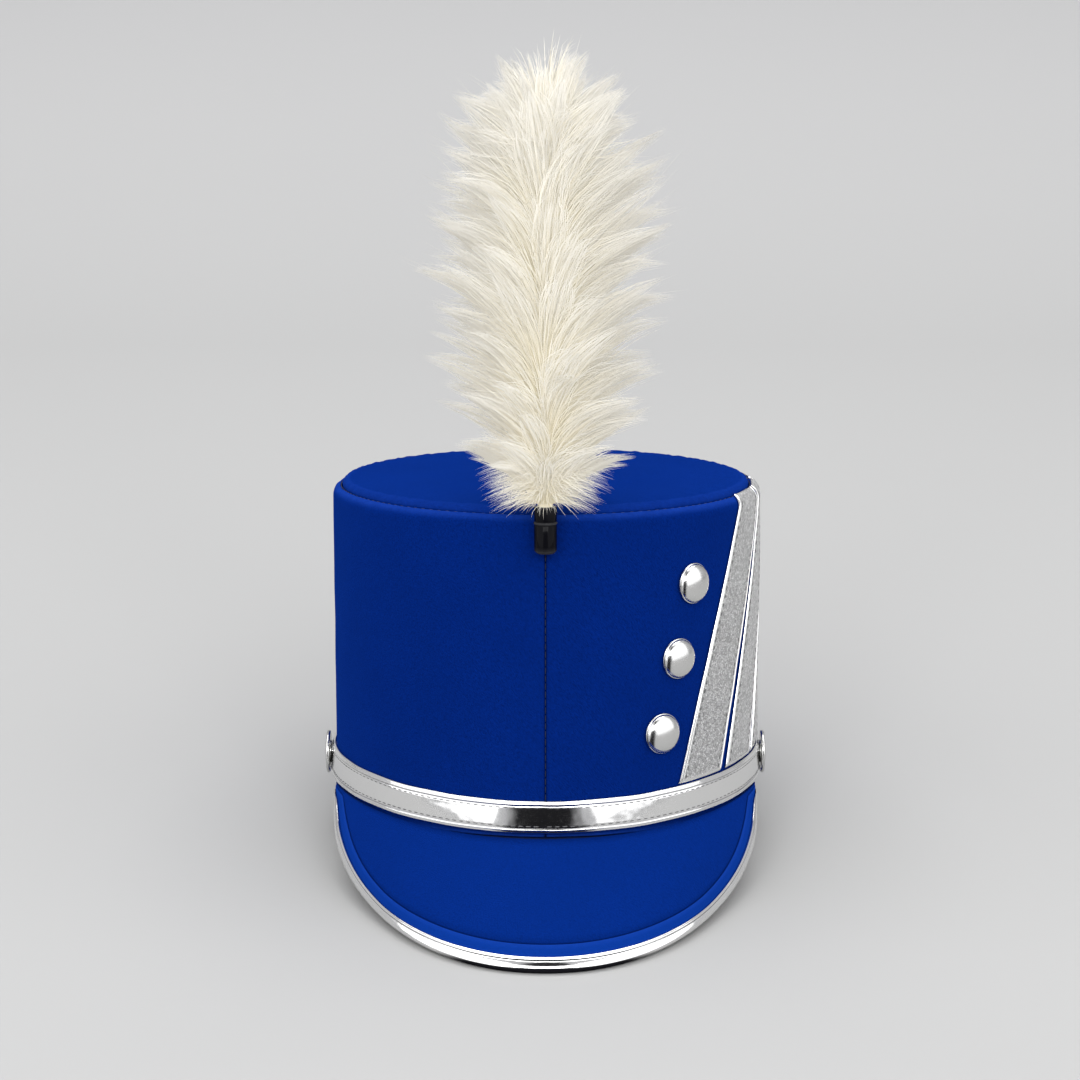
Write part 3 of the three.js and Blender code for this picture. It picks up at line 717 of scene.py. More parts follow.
def make_top_panel():
    """The panel that puffs up inside the rolled edge, with small puckers along its seam."""
    roll_end = (RIM_ROLL - FELT_WALL) * math.cos(ROLL_TURN) - RIM_ROLL
    edge = CROWN_HALF_WIDTH + CROWN_FLARE + roll_end - GAP
    deep = CROWN_HALF_DEPTH - CROWN_HALF_WIDTH
    seat = CROWN_HEIGHT - PANEL_LIP
    angle = np.linspace(0, 2 * math.pi, 288, endpoint=False)[:, None]

    def oval(inset, height):
        across = edge - inset
        ahead = -across * (edge + deep) / edge * np.cos(angle)
        return np.stack([across * np.sin(angle), ahead, height + 0 * angle], -1)

    # Rows from the seam to the middle: way in from the edge, height, seam mask (painted shade in the recess
    # beside the seam)
    outer = [(0.0, seat, 0.6), (0.0, seat + 0.9, 0.9), (0.0, CROWN_HEIGHT - 0.3, 0.9)]
    for turn in np.radians(np.linspace(0, 75, 9)):
        outer.append((PANEL_PUFF * (1 - math.cos(turn)), CROWN_HEIGHT + PANEL_PUFF * math.sin(turn), 0.0))
    crest_in, crest = outer[-1][:2]
    for share in (0.985, 0.96, 0.92, 0.86, 0.78, 0.68, 0.56, 0.43, 0.3, 0.17, 0.07):
        outer.append((edge - (edge - crest_in) * share, crest + PANEL_DOME * (1 - share ** 2.2), 0.0))
    outer.append((edge, crest + PANEL_DOME, 0.0))
    under = [(FELT_WALL, seat), (FELT_WALL, CROWN_HEIGHT)]
    under += [(way + FELT_WALL, height - FELT_WALL) for way, height, _ in outer[-12:-2]]
    under.append((edge, crest + PANEL_DOME - FELT_WALL))
    outer = np.array(outer)
    under = np.array(under)
    inset = outer[:, 0][None, :]
    height = outer[:, 1][None, :]
    round_rim = rim_distance(angle)
    fade = np.exp(-np.maximum(inset - 1.0, 0) / 9.0) * (height > CROWN_HEIGHT + 0.3)
    height = height + 0.2 * fade * waves(round_rim, 21, (9.7, 14.3, 7.1, 5.2))
    away = np.clip(inset / 30.0, 0, 1) * np.clip((edge - inset) / 30, 0, 1)
    height = height + 0.35 * waves(inset * np.sin(angle), 8, (60.0, 37.0)) * away
    inset = inset + 0.12 * fade * waves(round_rim, 22, (9.7, 6.1))
    top = oval(inset, height)
    low = oval(under[:, 0][None, :], under[:, 1][None, :])
    rings = np.concatenate([low[:, ::-1], top], axis=1)
    points, faces = loft(rings, ring_closed=False, row_closed=True)
    lower = low.shape[1]
    row = np.arange(rings.shape[1])
    seam = np.concatenate([np.zeros(lower), outer[:, 2]])
    # Painted highlight, with wear: the puff just inside the seam turns lighter through the rub mask.
    rub = 0.35 * ((row >= lower + 4) & (row < lower + 12))
    masks = grid_masks(rings.shape[:2], seam=seam, rub=rub, lining=row < lower, border=0.0)
    add_piece("top_panel", points, faces, "napped_felt", ["crown_top"], masks, 60)


def make_seam_stitches():
    """Threads down the front seam and round the top panel."""
    heights = np.arange(strap_height(0.0) + 1.2, SOCKET_BOTTOM + 1.0, 3.4)
    middles = on_crown(0.0, heights, -0.5)
    up = np.tile([0.0, 0.0, 1.0], (len(heights), 1))
    out = np.tile([0.0, -1.0, 0.0], (len(heights), 1))
    front = stitches(middles, up, out, 2.9, 0.2)
    angles = angle_along(np.arange(0.0, TABLE_LENGTHS[-1] - 2.0, 4.3))
    middles = on_crown(angles, RIM_SEAM_HEIGHT, RIM_SEAM_LIFT)
    ahead = on_crown(angles + 0.01, RIM_SEAM_HEIGHT, RIM_SEAM_LIFT) - middles
    over = np.tile([0.0, 0.0, 1.0], (len(angles), 1))
    points, faces = joined([front, stitches(middles, ahead, over, 2.9, 0.3)])
    add_piece("seam_stitches", points, faces, "seam_thread")


# Visor

def ease(low, high, degrees):
    """A smooth step from 0 to 1 between two angles in degrees."""
    share = np.clip((degrees - low) / (high - low), 0, 1)
    return share * share * (3 - 2 * share)


def visor_edge(angle):
    """The visor's edge. Its ends climb forward of the wall, to tuck in behind the strap."""
    forward = np.cos(angle)
    degrees = np.abs(np.degrees(angle))
    wing = WING_REACH * ease(45, 85, degrees)
    half_width = VISOR_HALF_WIDTH - WING_NARROWING * ease(72, 87, degrees)
    return np.stack([
        half_width * np.sign(angle) * np.abs(np.sin(angle)) ** EDGE_SOFTNESS,
        -VISOR_REACH * forward ** EDGE_SOFTNESS - WING_FORWARD * wing,
        VISOR_RISE - (VISOR_RISE + VISOR_DROP) * forward ** EDGE_SWEEP + WING_UP * wing,
    ], axis=-1)


TAB_END = math.acos(((VISOR_RISE + VISOR_END_DROP) / (VISOR_RISE + VISOR_DROP)) ** (1 / EDGE_SWEEP))
VISOR_END_DEGREES = 88.2
VISOR_END = math.radians(VISOR_END_DEGREES)
WING_REACH = 17.0  # how far the side ends reach along the wing's direction
WING_FORWARD = 0.989
WING_UP = 0.15
WING_NARROWING = 1.3
BEND_LAG = 13.0  # degrees that the bend at the rim lies ahead of the edge, towards the sides
BEND_LAG_LOSS = 4.5
BEND_RISE = 6.6
BEND_DROP = 0.9
BEND_LIFT = 1.3  # how far the bend lies off the wall's face
BEND_LIFT_LOSS = 0.7
TAB_LIFT = -(FELT_WALL + GAP + VISOR_THICKNESS / 2)


class VisorPlate:
    """The visor's middle surface by columns: its edge, its bend at the rim, and points between."""

    def __init__(self, columns):
        self.angle = VISOR_END * np.sin(math.pi * (np.linspace(0, 1, columns) - 0.5))
        degrees = np.abs(np.degrees(self.angle))
        lag = BEND_LAG * ease(35, 78, degrees) - BEND_LAG_LOSS * ease(80, VISOR_END_DEGREES, degrees)
        root = self.angle - np.sign(self.angle) * np.radians(lag)
        lift = BEND_LIFT - BEND_LIFT_LOSS * ease(84, VISOR_END_DEGREES, degrees)
        self.bend = on_crown(root, BEND_RISE * np.sin(root) ** 2 - BEND_DROP, lift)
        self.edge = visor_edge(self.angle)
        inward = self.bend - self.edge
        self.length = np.linalg.norm(inward, axis=-1)
        turn = math.radians(0.1)
        along = visor_edge(self.angle + turn) - visor_edge(self.angle - turn)
        self.upward = normalised(np.cross(along, inward))
        self.outward = normalised(np.cross(along, self.upward))
        self.outward *= np.sign(np.sum(self.outward * -inward, axis=-1, keepdims=True))
        self.bulge = VISOR_BULGE * (1 - ease(48, 78, degrees))
        self.leg = np.minimum(BINDING_LEG, 0.5 * self.length)
        self.border_foot = np.minimum(BINDING_LEG + BORDER_WIDTH, 0.85 * self.length)
        self.border_top = np.maximum(self.leg, self.border_foot - 0.8)

    def at(self, from_edge, level):
        """Points a way in from the edge and a level above the middle surface."""
        share = 1 - from_edge / self.length
        bulge = self.bulge * 4 * share * (1 - share) * (self.length / (self.length + BINDING_LEG))
        middle = self.bend + (self.edge - self.bend) * share[:, None]
        return middle + self.upward * (bulge + level)[:, None]


def visor_tab():
    """The tab that runs in under the wall's edge and up inside it."""
    angle = np.linspace(-TAB_END, TAB_END, 120)
    half = VISOR_THICKNESS / 2
    under = -(2 * GAP + half)
    out = 0.8 - 0.9 * ease(8, 18, np.abs(np.degrees(angle)))
    rows = [(under + half, out), (under + half, TAB_LIFT + half), (VISOR_TAB, TAB_LIFT + half)]
    rows += [(VISOR_TAB, TAB_LIFT - half), (under - half, TAB_LIFT - half), (under - half, out)]
    return np.stack([on_crown(angle, height, lift) for height, lift in rows], axis=1)


def make_visor():
    """The felt visor with its raised border and its dark underside, and its tab."""
    plate = VisorPlate(180)
    half = VISOR_THICKNESS / 2
    raised = half + BORDER_RAISE
    leg, foot, crest = plate.leg, plate.border_foot, plate.border_top
    rest = plate.length - foot
    # Rows from the edge to the wall and back below: way in, level, and border, rub and seam masks. The border
    # mask also paints light over the whole plate, rub marks wear and a painted highlight on the border's
    # crest, and seam paints shade in the grooves by the border and the shadow under the strap.
    rows = [
        (0.05 * leg, raised - 0.3, 1, 0, 0),
        (0.5 * leg, raised, 1, 0, 0),
        (0.98 * leg, raised, 1, 0, 0.2),
    ]
    flat = [(0.12, 0.0, 0.05), (0.35, 0.04, 0.05), (0.65, 0.05, 0.05), (0.88, 0.0, 0.3), (1.0, -0.08, 0.3)]
    for share, lift, rub in flat:
        rows.append((leg + share * (crest - leg), raised + lift, 1, rub, 0))
    rows += [
        (crest + 0.35 * (foot - crest), raised - 0.12, 1, 0.7, 0),
        # The border's foot: the seam mask paints shade in the groove there.
        (crest + 0.8 * (foot - crest), half + 0.15, 0.6, 0.1, 0.4),
        (foot, half - 0.12, VISOR_PAINTED_LIGHT, 0, 0.8),
        (foot + np.minimum(0.7, 0.2 * rest), half, VISOR_PAINTED_LIGHT, 0, 0.2),
    ]
    wander = 0.12 * waves(plate.angle * 95, 31, (43.0, 71.0))
    # At the wall the last row takes a painted shadow of the strap through the seam mask.
    for share in np.linspace(0.08, 1.0, 14):
        level = half + wander * math.sin(math.pi * share)
        rows.append((foot + share * rest, level, VISOR_PAINTED_LIGHT, 0, 0.35 if share == 1 else 0))
    top_rows = len(rows)
    for share in np.linspace(1.0, 0.0, 12):
        rows.append((0.05 * leg + share * (plate.length - 0.05 * leg), -half, 0, 0, 0))
    rings = np.stack([plate.at(way, level) for way, level, _, _, _ in rows], axis=1)
    border, rub, seam = np.array([row[2:] for row in rows], dtype=float).T
    lining = np.arange(len(rows)) >= top_rows
    masks = grid_masks(rings.shape[:2], border=border, rub=rub, seam=seam, lining=lining)
    tab = visor_tab()
    points, faces = joined([loft(rings), loft(tab)])
    for name, values in masks.items():
        masks[name] = np.concatenate([values, np.full(tab.size // 3, float(name == "lining"))])
    add_piece("visor_felt", points, faces, "napped_felt", ["visor"], masks, 60)


def make_binding():
    """Silver binding folded round the visor's edge, with a pressed ridge along its upper leg."""
    plate = VisorPlate(220)
    half = VISOR_THICKNESS / 2
    low_in = -(half + GAP)
    low_out = -(half + GAP + BINDING_THICKNESS)
    top_in = half + BORDER_RAISE + GAP
    top_out = half + BORDER_RAISE + GAP + BINDING_THICKNESS
    middle = (low_out + top_out) / 2
    tall = (top_out - low_out) / 2
    leg = plate.leg
    ridge = np.minimum(1.7, 0.3 * leg)
    back = leg - ridge
    # Rows round the fold: way in from the edge, level, way out past the edge, groove mask (painted shade in
    # the ridge's pressed line)
    rows = [(leg, (low_in + low_out) / 2, 0, 0), (leg - 0.15, low_out, 0, 0), (0.5 * leg, low_out, 0, 0)]
    for turn in np.radians(np.linspace(-90, 90, 11)):
        rows.append((0, middle + tall * math.sin(turn), 1.35 * math.cos(turn), 0))
    rows += [(share * back, top_out + 0.12, 0, 0) for share in (0.15, 0.3, 0.45)]
    rows += [
        (back - np.minimum(0.75, 0.2 * leg), top_out + 0.08, 0, 0),
        (back - np.minimum(0.4, 0.12 * leg), top_out - 0.08, 0, 0.9),
        (back - np.minimum(0.15, 0.04 * leg), top_out + 0.12, 0, 0.15),
        (back + 0.05 * ridge, top_out + 0.3, 0, 0),
        (back + 0.3 * ridge, top_out + 0.3, 0, 0),
        (back + 0.55 * ridge, top_out + 0.1, 0, 0),
        (leg - 0.12, top_out, 0, 0),
        (leg, (top_out + top_in) / 2, 0, 0),
        (leg - 0.1, top_in, 0, 0),
        (0.3 * leg, top_in, 0, 0),
        (0, top_in, 0.3, 0),
        (0, middle, 0.62, 0),
        (0, low_in, 0.3, 0),
        (0.3 * leg, low_in, 0, 0),
        (leg - 0.1, low_in, 0, 0),
    ]
    rings = np.stack([plate.at(way, level) + plate.outward * out for way, level, out, _ in rows], axis=1)
    points, faces = loft(rings)
    masks = grid_masks(rings.shape[:2], groove=[row[3] for row in rows])
    add_piece("visor_edge_binding", points, faces, "mirror_sheet",
              ["visor_binding"], masks, 60)


# Chin strap

STRAP_STAND_OFF = 0.075  # how far the strap leans off the wall, for each mm down from its upper edge
STRAP_STITCH_IN = 2.95


def strap_section():
    """Rows of lift, distance down from the upper edge, and groove mask, which paints shade in the pressed
    line.
    """
    half = [
        (0.42, 0.0, 0.0), (1.1, 0.0, 0.0), (1.36, 0.12, 0.0), (1.46, 0.45, 0.0), (1.5, 0.85, 0.0),
        (1.72, 1.15, 0.0), (1.8, 1.45, 0.0), (1.7, 1.75, 0.0), (1.42, 2.0, 0.85), (1.4, 2.15, 0.6),
        (1.52, 2.4, 0.0), (1.54, 3.6, 0.0), (1.56, 5.2, 0.0),
    ]
    mirrored = [(lift, STRAP_WIDTH - down, groove) for lift, down, groove in half[::-1]]
    back = [(GAP, STRAP_WIDTH - 0.15, 0.0), (GAP, 9.0, 0.0), (GAP, 4.5, 0.0), (GAP, 0.15, 0.0)]
    return np.array(half + [(1.58, STRAP_WIDTH / 2, 0.0)] + mirrored + back)


def make_chin_strap():
    """The silver strap, one closed loop. Its lower edge stands off the wall a little."""
    rows = strap_section()
    lift, down = rows[:, 0][None, :], rows[:, 1][None, :]
    angle = np.linspace(0, 2 * math.pi, 320, endpoint=False)[:, None]
    round_rim = rim_distance(angle)
    outer = (lift > 0.6).astype(float)
    lift = lift + STRAP_STAND_OFF * down + 0.05 * outer * waves(round_rim, 41, (33.0, 57.0, 21.0))
    height = strap_height(angle) - down + 0.08 * waves(round_rim, 42, (47.0, 29.0))
    points, faces = loft(on_crown(angle, height, lift), row_closed=True)
    masks = grid_masks((len(angle), len(rows)), groove=rows[:, 2])
    add_piece("strap_band", points, faces, "mirror_sheet", ["chin_strap"], masks, 60)


def make_strap_stitches():
    """Threads along both edges of the strap, left out under the side buttons."""
    angles = angle_along(np.arange(1.6, TABLE_LENGTHS[-1] - 1.0, 3.2))
    angles = angles[np.abs(np.abs(angles - math.pi) - math.pi / 2) > 0.11]
    outs = on_crown(angles, 0.0, 10.0) - on_crown(angles, 0.0, 0.0)
    parts = []
    for down in (STRAP_STITCH_IN, STRAP_WIDTH - STRAP_STITCH_IN):
        lift = 1.56 + STRAP_STAND_OFF * down
        middles = on_crown(angles, strap_height(angles) - down, lift)
        ahead = on_crown(angles + 0.01, strap_height(angles + 0.01) - down, lift) - middles
        parts.append(stitches(middles, ahead, outs, 2.2, 0.2))
    points, faces = joined(parts)
    add_piece("strap_stitches", points, faces, "trim_thread")


# Buttons

def stand(part, angle, height):
    """Stands a turned form on the crown's wall."""
    points, faces = part
    basis, start = crown_basis(angle, height)
    return start + points @ basis, faces


def make_side_buttons():
    """The two buttons on the strap's ends: a shank, a collar, a rolled rim and a shallow face."""
    profile = [(0, -FELT_WALL), (2.0, -FELT_WALL), (2.0, 2.3), (5.0, 2.3)]
    profile += [(5.4, 2.45), (5.1, 2.7), (5.2, 2.95)]
    profile += arc((8.8, 3.85), (0.95, 0.9), -90, 60, 9)
    profile += [(8.6, 4.55), (8.35, 4.5)]
    profile += arc((0.0, 3.8), (8.2, 1.75), 24, 90, 9)
    sides = 64
    # The groove mask paints shade in the step behind the rim.
    groove = np.repeat([float(4.45 < z < 4.6 and 8.3 < radius < 8.7) for radius, z in profile], sides)
    for side, angle in (("left", math.pi / 2), ("right", -math.pi / 2)):
        points, faces = stand(turned(profile, sides), angle, STRAP_TOP - STRAP_WIDTH / 2)
        add_piece("side_button_dome_" + side, points, faces, "polished_chrome",
                  ["side_button_" + side], {"groove": groove}, 50)


def make_dome_buttons():
    """The three dome buttons in a slanted row beside the stripes."""
    profile = [(0, -FELT_WALL), (1.5, -FELT_WALL), (1.5, GAP), (8.0, GAP)]
    profile += arc((8.15, GAP + 0.55), (0.6, 0.55), -90, 75, 8)
    profile += arc((0.0, GAP + 0.85), (8.3, DOME_HEIGHT - 0.85), 4, 90, 20)
    for number in range(DOME_COUNT):
        angle = float(angle_along(DOME_ALONG - DOME_ALONG_STEP * number))
        points, faces = stand(turned(profile, 96), angle, DOME_UP - DOME_UP_STEP * number)
        add_piece(f"dome_button_face_{number + 1}", points, faces, "polished_chrome",
                  [f"dome_button_{number + 1}"], {"groove": np.zeros(len(points))}, 50)


# Stripes

def stripe_point(index, across, rise, lift):
    """A point of a stripe: across it in mm, a share of the climb, and lift off the wall."""
    start = STRIPE_START + index * (STRIPE_WIDTH + STRIPE_SPACING)
    bottom = strap_height(angle_along(start + across)) + STRIPE_STRAP_GAP
    on_wall = np.minimum(1, rise / STRIPE_CORNER)
    over_rim = np.maximum(0, rise - STRIPE_CORNER) / (1 - STRIPE_CORNER)
    climb = bottom + (ROLL_START - bottom) * on_wall + ROLL_LENGTH * over_rim
    risen = climb - STRAP_TOP
    along = start + across + STRIPE_LEAN * risen + STRIPE_SWEEP * risen ** 2
    return on_crown_over_rim(angle_along(along), climb, lift)


def make_stripe(index):
    """A crackled stripe with a double fold along each edge, from the strap over the rolled edge."""
    base = GAP + 0.02
    top = GAP + STRIPE_THICKNESS
    # Rows from the edge to the middle: way across, lift, fold mask
    half = [
        (0.12, base, 1), (0.0, base + 0.35, 1), (0.15, top, 1), (0.5, top + 0.25, 1), (0.9, top + 0.25, 1),
        (1.15, top + 0.02, 1), (1.3, top - 0.15, 1), (1.45, top - 0.02, 1), (1.7, top + 0.12, 1),
        (2.0, top + 0.08, 0.8), (2.25, top, 0.0), (3.2, top, 0.0), (6.5, top, 0.0), (10.0, top, 0.0),
    ]
    rows = half + [(STRIPE_WIDTH - across, lift, fold) for across, lift, fold in half[::-1]]
    rows += [(STRIPE_WIDTH * 0.66, base, 1), (STRIPE_WIDTH * 0.33, base, 1)]
    across, lift, fold = np.array(rows).T
    low_end = [0.0, 0.004, 0.01, 0.018, 0.03]
    rise = np.concatenate([low_end, np.linspace(0.05, 0.85, 34), np.linspace(0.87, 1.0, 10)])[:, None]
    ends = np.minimum(1.0, np.sqrt(np.clip(rise / 0.012, 0, 1)) * 0.55 + 0.45)
    lift = base + (lift[None, :] - base) * ends
    ripple = waves(120 * rise + 0.6 * across[None, :], 50 + index, (31.0, 19.0))
    lift = lift + 0.06 * ripple * (lift > base + 0.2)
    grid = stripe_point(index, across[None, :], rise, lift)
    points, faces = loft(grid)
    # The groove mask paints shade in the line between each edge's folds.
    groove = np.abs(np.minimum(across, STRIPE_WIDTH - across) - 1.3) < 0.02
    masks = grid_masks(grid.shape[:2], fold=np.maximum(fold[None, :], rise < 0.012), groove=groove)
    add_piece(f"stripe_band_{index + 1}", points, faces, "crackled_sheet",
              [f"stripe_{index + 1}"], masks, 60)


def make_stripe_stitches():
    """Threads along both edges of each stripe."""
    rise = np.arange(0.02, 0.9, 0.0265)
    lift = GAP + STRIPE_THICKNESS + 0.04
    parts = []
    for index in range(STRIPE_COUNT):
        for across in (STRIPE_STITCH_IN, STRIPE_WIDTH - STRIPE_STITCH_IN):
            middles = stripe_point(index, across, rise, lift)
            ahead = stripe_point(index, across, rise + 0.002, lift) - middles
            outs = stripe_point(index, across, rise, GAP + 2.0) - stripe_point(index, across, rise, GAP)
            parts.append(stitches(middles, ahead, outs, 2.2, 0.2))
    points, faces = joined(parts)
    add_piece("stripe_stitches", points, faces, "trim_thread")


# Plume socket

def make_socket():
    """The turned cup with its ring and bore, and the lug that holds it to the wall."""
    top = SOCKET_LENGTH
    ring = top - SOCKET_RING_DOWN
    # Rows up the outside: radius against the cup's, height, rub mask (wear, and painted glints on the bevels
    # and the ring)
    outside = [
        (-1.3, 0, 0.2), (-1.1, 0.06, 1), (-0.12, 1.1, 1), (0, 1.4, 0.4), (0, 3.0, 0), (0, ring - 1.0, 0),
        (-0.15, ring - 0.75, 0), (0.05, ring - 0.5, 0.6), (0.25, ring - 0.2, 1), (0.25, ring + 0.2, 1),
        (0.05, ring + 0.5, 0.6), (-0.15, ring + 0.75, 0), (0, ring + 1.0, 0), (0, top - 0.5, 0.3),
        (-0.15, top - 0.12, 1), (-0.5, top, 1),
    ]
    profile = [(0, 0, 0)] + [(SOCKET_RADIUS + out, height, rub) for out, height, rub in outside]
    profile += [(SOCKET_BORE + 0.25, top, 0.6), (SOCKET_BORE, top - 0.3, 0)]
    profile += [(SOCKET_BORE, SOCKET_FLOOR, 0), (0, SOCKET_FLOOR, 0)]
    sides = 48
    cup_points, cup_faces = turned([(radius, height) for radius, height, _ in profile], sides)
    cup_points = cup_points + [0.0, SOCKET_AXIS_Y, SOCKET_BOTTOM]
    pin, lug_faces = turned([(0, -LUG_BACK), (2.0, -LUG_BACK), (2.0, 7.7), (1.7, 8.0), (0, 8.0)], 24)
    lug_y = SOCKET_AXIS_Y + (SOCKET_RADIUS - LUG_SUNK) + (pin[:, 2] + LUG_BACK) * LUG_SHARE
    lug_points = np.stack([pin[:, 0], lug_y, SOCKET_BOTTOM + LUG_UP + pin[:, 1]], axis=-1)
    points, faces = joined([(cup_points, cup_faces), (lug_points, lug_faces)])
    rub = np.repeat([mask for _, _, mask in profile], sides)
    masks = {"rub": np.concatenate([rub, np.zeros(len(lug_points))])}
    add_piece("socket_cup", points, faces, "gloss_lacquer",
              ["plume_socket"], masks, 40)


# Plume

FRONT_REACH = 0.72  # a lock's reach straight ahead, and what it gains to the sides
SIDE_REACH = 0.28
PARTING = 0.5


def plume_radius(height):
    return PLUME_REACH * np.interp(height / PLUME_HEIGHT, PLUME_HEIGHTS, PLUME_REACHES)


def bezier(root, bend, tip, steps, cut=1.0):
    """Curves from root to tip, each cut off at a share of its length."""
    t = np.linspace(0, 1, steps)[None, :, None] * np.broadcast_to(cut, len(tip))[:, None, None]
    return (1 - t) ** 2 * root[:, None] + 2 * t * (1 - t) * bend[:, None] + t ** 2 * tip[:, None]


def aside(turn, reach, height):
    turn, reach, height = np.broadcast_arrays(turn, reach, height)
    return np.stack([reach * np.sin(turn), -reach * np.cos(turn), height], axis=-1)


def strands(paths, widths):
    """Three-sided tapered strands along paths (count, steps, 3), each ending in a point."""
    count, steps = paths.shape[:2]
    ahead = normalised(np.gradient(paths, axis=1))
    side = normalised(np.cross(ahead, np.array([0.31, 0.17, 0.93])))
    over = np.cross(side, ahead)
    taper = (1 - 0.75 * np.linspace(0, 1, steps)[:-1] ** 1.5)[None, :, None] * widths[:, None, None] / 2
    corners = []
    for turn in np.radians([90.0, 210.0, 330.0]):
        outward = side[:, :-1] * math.cos(turn) + over[:, :-1] * math.sin(turn)
        corners.append(paths[:, :-1] + taper * outward)
    rings = np.stack(corners, axis=2).reshape(count, -1, 3)
    points = np.concatenate([rings, paths[:, -1:]], axis=1)
    per = points.shape[1]
    index = np.arange((steps - 1) * 3).reshape(steps - 1, 3)
    beside = np.roll(index, -1, axis=1)
    quads = np.stack([index[:-1], index[1:], beside[1:], beside[:-1]], -1).reshape(-1, 4)
    a, b, c = index[-1]
    ends = np.array([[b, a, per - 1], [c, b, per - 1], [a, c, per - 1], index[0]])
    starts = (np.arange(count) * per)[:, None, None]
    faces = (quads[None] + starts).reshape(-1, 4).tolist()
    faces += (ends[None] + starts).reshape(-1, 3).tolist()
    share = np.concatenate([np.repeat(np.linspace(0, 1, steps)[:-1], 3), [1.0]])
    own = normalised(points - np.repeat(paths, [3] * (steps - 1) + [1], axis=1))
    outward = normalised(points * [1.0, 1.0, 0.0] + [0.0, 0.0, 12.0])
    normals = normalised(0.2 * own + 0.8 * outward).reshape(-1, 3)
    return points.reshape(-1, 3), faces, np.tile(share, count), per, normals


def parted(turn):
    """Draws barbs away from the front and the back, where the plume parts along its quill."""
    return turn + PARTING * np.sin(2 * turn)


def lock_paths(rng, turn, low, rise, reach, droop, count, own_spread, steps):
    """Barbs of given locks: most draw together into a point, the rest stay shorter and loose."""
    sideways = np.abs(np.sin(parted(turn)))
    reach = reach * (FRONT_REACH + SIDE_REACH * sideways)
    drawn = rng.random(count) < 0.35 + 0.35 * sideways
    cut = np.where(drawn, 1 - 0.5 * rng.random(count) ** 1.6, 1.0)
    guide = bezier(
        aside(turn, 3.0, low),
        aside(parted(turn), 0.42 * reach, low + 0.82 * rise),
        aside(parted(turn), reach, low + rise * (1 - droop)),
        steps, cut,
    )
    own_turn = turn + rng.uniform(-1, 1, count) * own_spread[0]
    own_low = np.maximum(1.2, low + rng.uniform(-1, 1, count) * own_spread[1])
    own_rise = rise * rng.uniform(0.8, 1.15, count)
    share = np.where(drawn, 1.0, 0.77 - 0.3 * rng.random(count) ** 1.1)
    own_share = FRONT_REACH + SIDE_REACH * np.abs(np.sin(parted(own_turn)))
    own_reach = share * (0.5 * reach + 0.5 * own_share * plume_radius(own_low + own_rise))
    own = bezier(
        aside(own_turn, rng.uniform(0.8, 3.4, count), own_low),
        aside(parted(own_turn), 0.42 * own_reach, own_low + own_rise * rng.uniform(0.72, 0.95, count)),
        aside(parted(own_turn), own_reach, own_low + own_rise * (1 - rng.uniform(0.0, 0.25, count))),
        steps, cut,
    )
    gather = np.where(drawn, rng.uniform(0.85, 1.0, count), rng.uniform(0.0, 0.2, count))
    pull = (np.linspace(0, 1, steps)[None, :, None] * cut[:, None, None]) ** 1.1
    paths = own + (guide - own) * gather[:, None, None] * pull
    stray = np.where(rng.random(count) < 0.04, rng.uniform(0.05, 0.14, count), 0.0)[:, None]
    stray = stray * np.clip((own_low - 25) / 30, 0.0, 1.0)[:, None]
    paths[:, -1] += (paths[:, -1] - paths[:, 0]) * stray + rng.normal(0, 25.0, (count, 3)) * stray
    return paths


BARB_PIECES = 4
BARB_TIERS = 15
BARB_LOCKS_AROUND = 11
TIP_LOCKS = 17
TIP_SHARE = 0.13
FOOT_SHARE = 0.06
BARB_STEPS = 6


def barb_paths(rng, count, steps):
    """Barbs that rise from the quill, curve outwards, and draw together into pointed locks."""
    lock_rng = np.random.default_rng(7)
    size = (BARB_TIERS, BARB_LOCKS_AROUND)
    tier = np.arange(BARB_TIERS)[:, None]
    lock_turn = 2 * math.pi * (np.arange(BARB_LOCKS_AROUND)[None, :] + 0.5 * (tier % 2)) / BARB_LOCKS_AROUND
    lock_turn = lock_turn + lock_rng.normal(0, 0.12, size)
    lock_low = PLUME_HEIGHT * 0.72 * (tier + lock_rng.uniform(-0.42, 0.42, size)) / (BARB_TIERS - 1)
    lock_low = np.maximum(1.5, lock_low)
    lock_rise = (20 + 24 * np.clip(lock_low / 60.0, 0, 1)) * lock_rng.uniform(0.88, 1.12, size)
    lock_reach = plume_radius(lock_low + lock_rise) * lock_rng.uniform(0.9, 1.22, size)
    lock_droop = lock_rng.uniform(-0.12, 0.22, size)
    pick = (rng.integers(0, BARB_TIERS, count), rng.integers(0, BARB_LOCKS_AROUND, count))
    chosen = [values[pick] for values in (lock_turn, lock_low, lock_rise, lock_reach, lock_droop)]
    return lock_paths(rng, *chosen, count, (0.36, 7.0), steps)


def foot_barb_paths(rng, count, steps):
    """Short wisps round the socket's mouth, which fan outwards and hang a little."""
    turn = rng.uniform(0, 2 * math.pi, count)
    low = rng.uniform(1.0, 12.0, count)
    reach = rng.uniform(9.0, 30.0, count) * (0.75 + 0.25 * low / 12)
    tip = low + rng.uniform(-3.5, 10.0, count) - 0.1 * reach
    bend = np.maximum(low + 2.0, tip + 0.28 * reach)
    root = aside(turn, rng.uniform(0.8, 2.8, count), low)
    return bezier(root, aside(parted(turn), 0.5 * reach, bend), aside(parted(turn), reach, tip), steps)


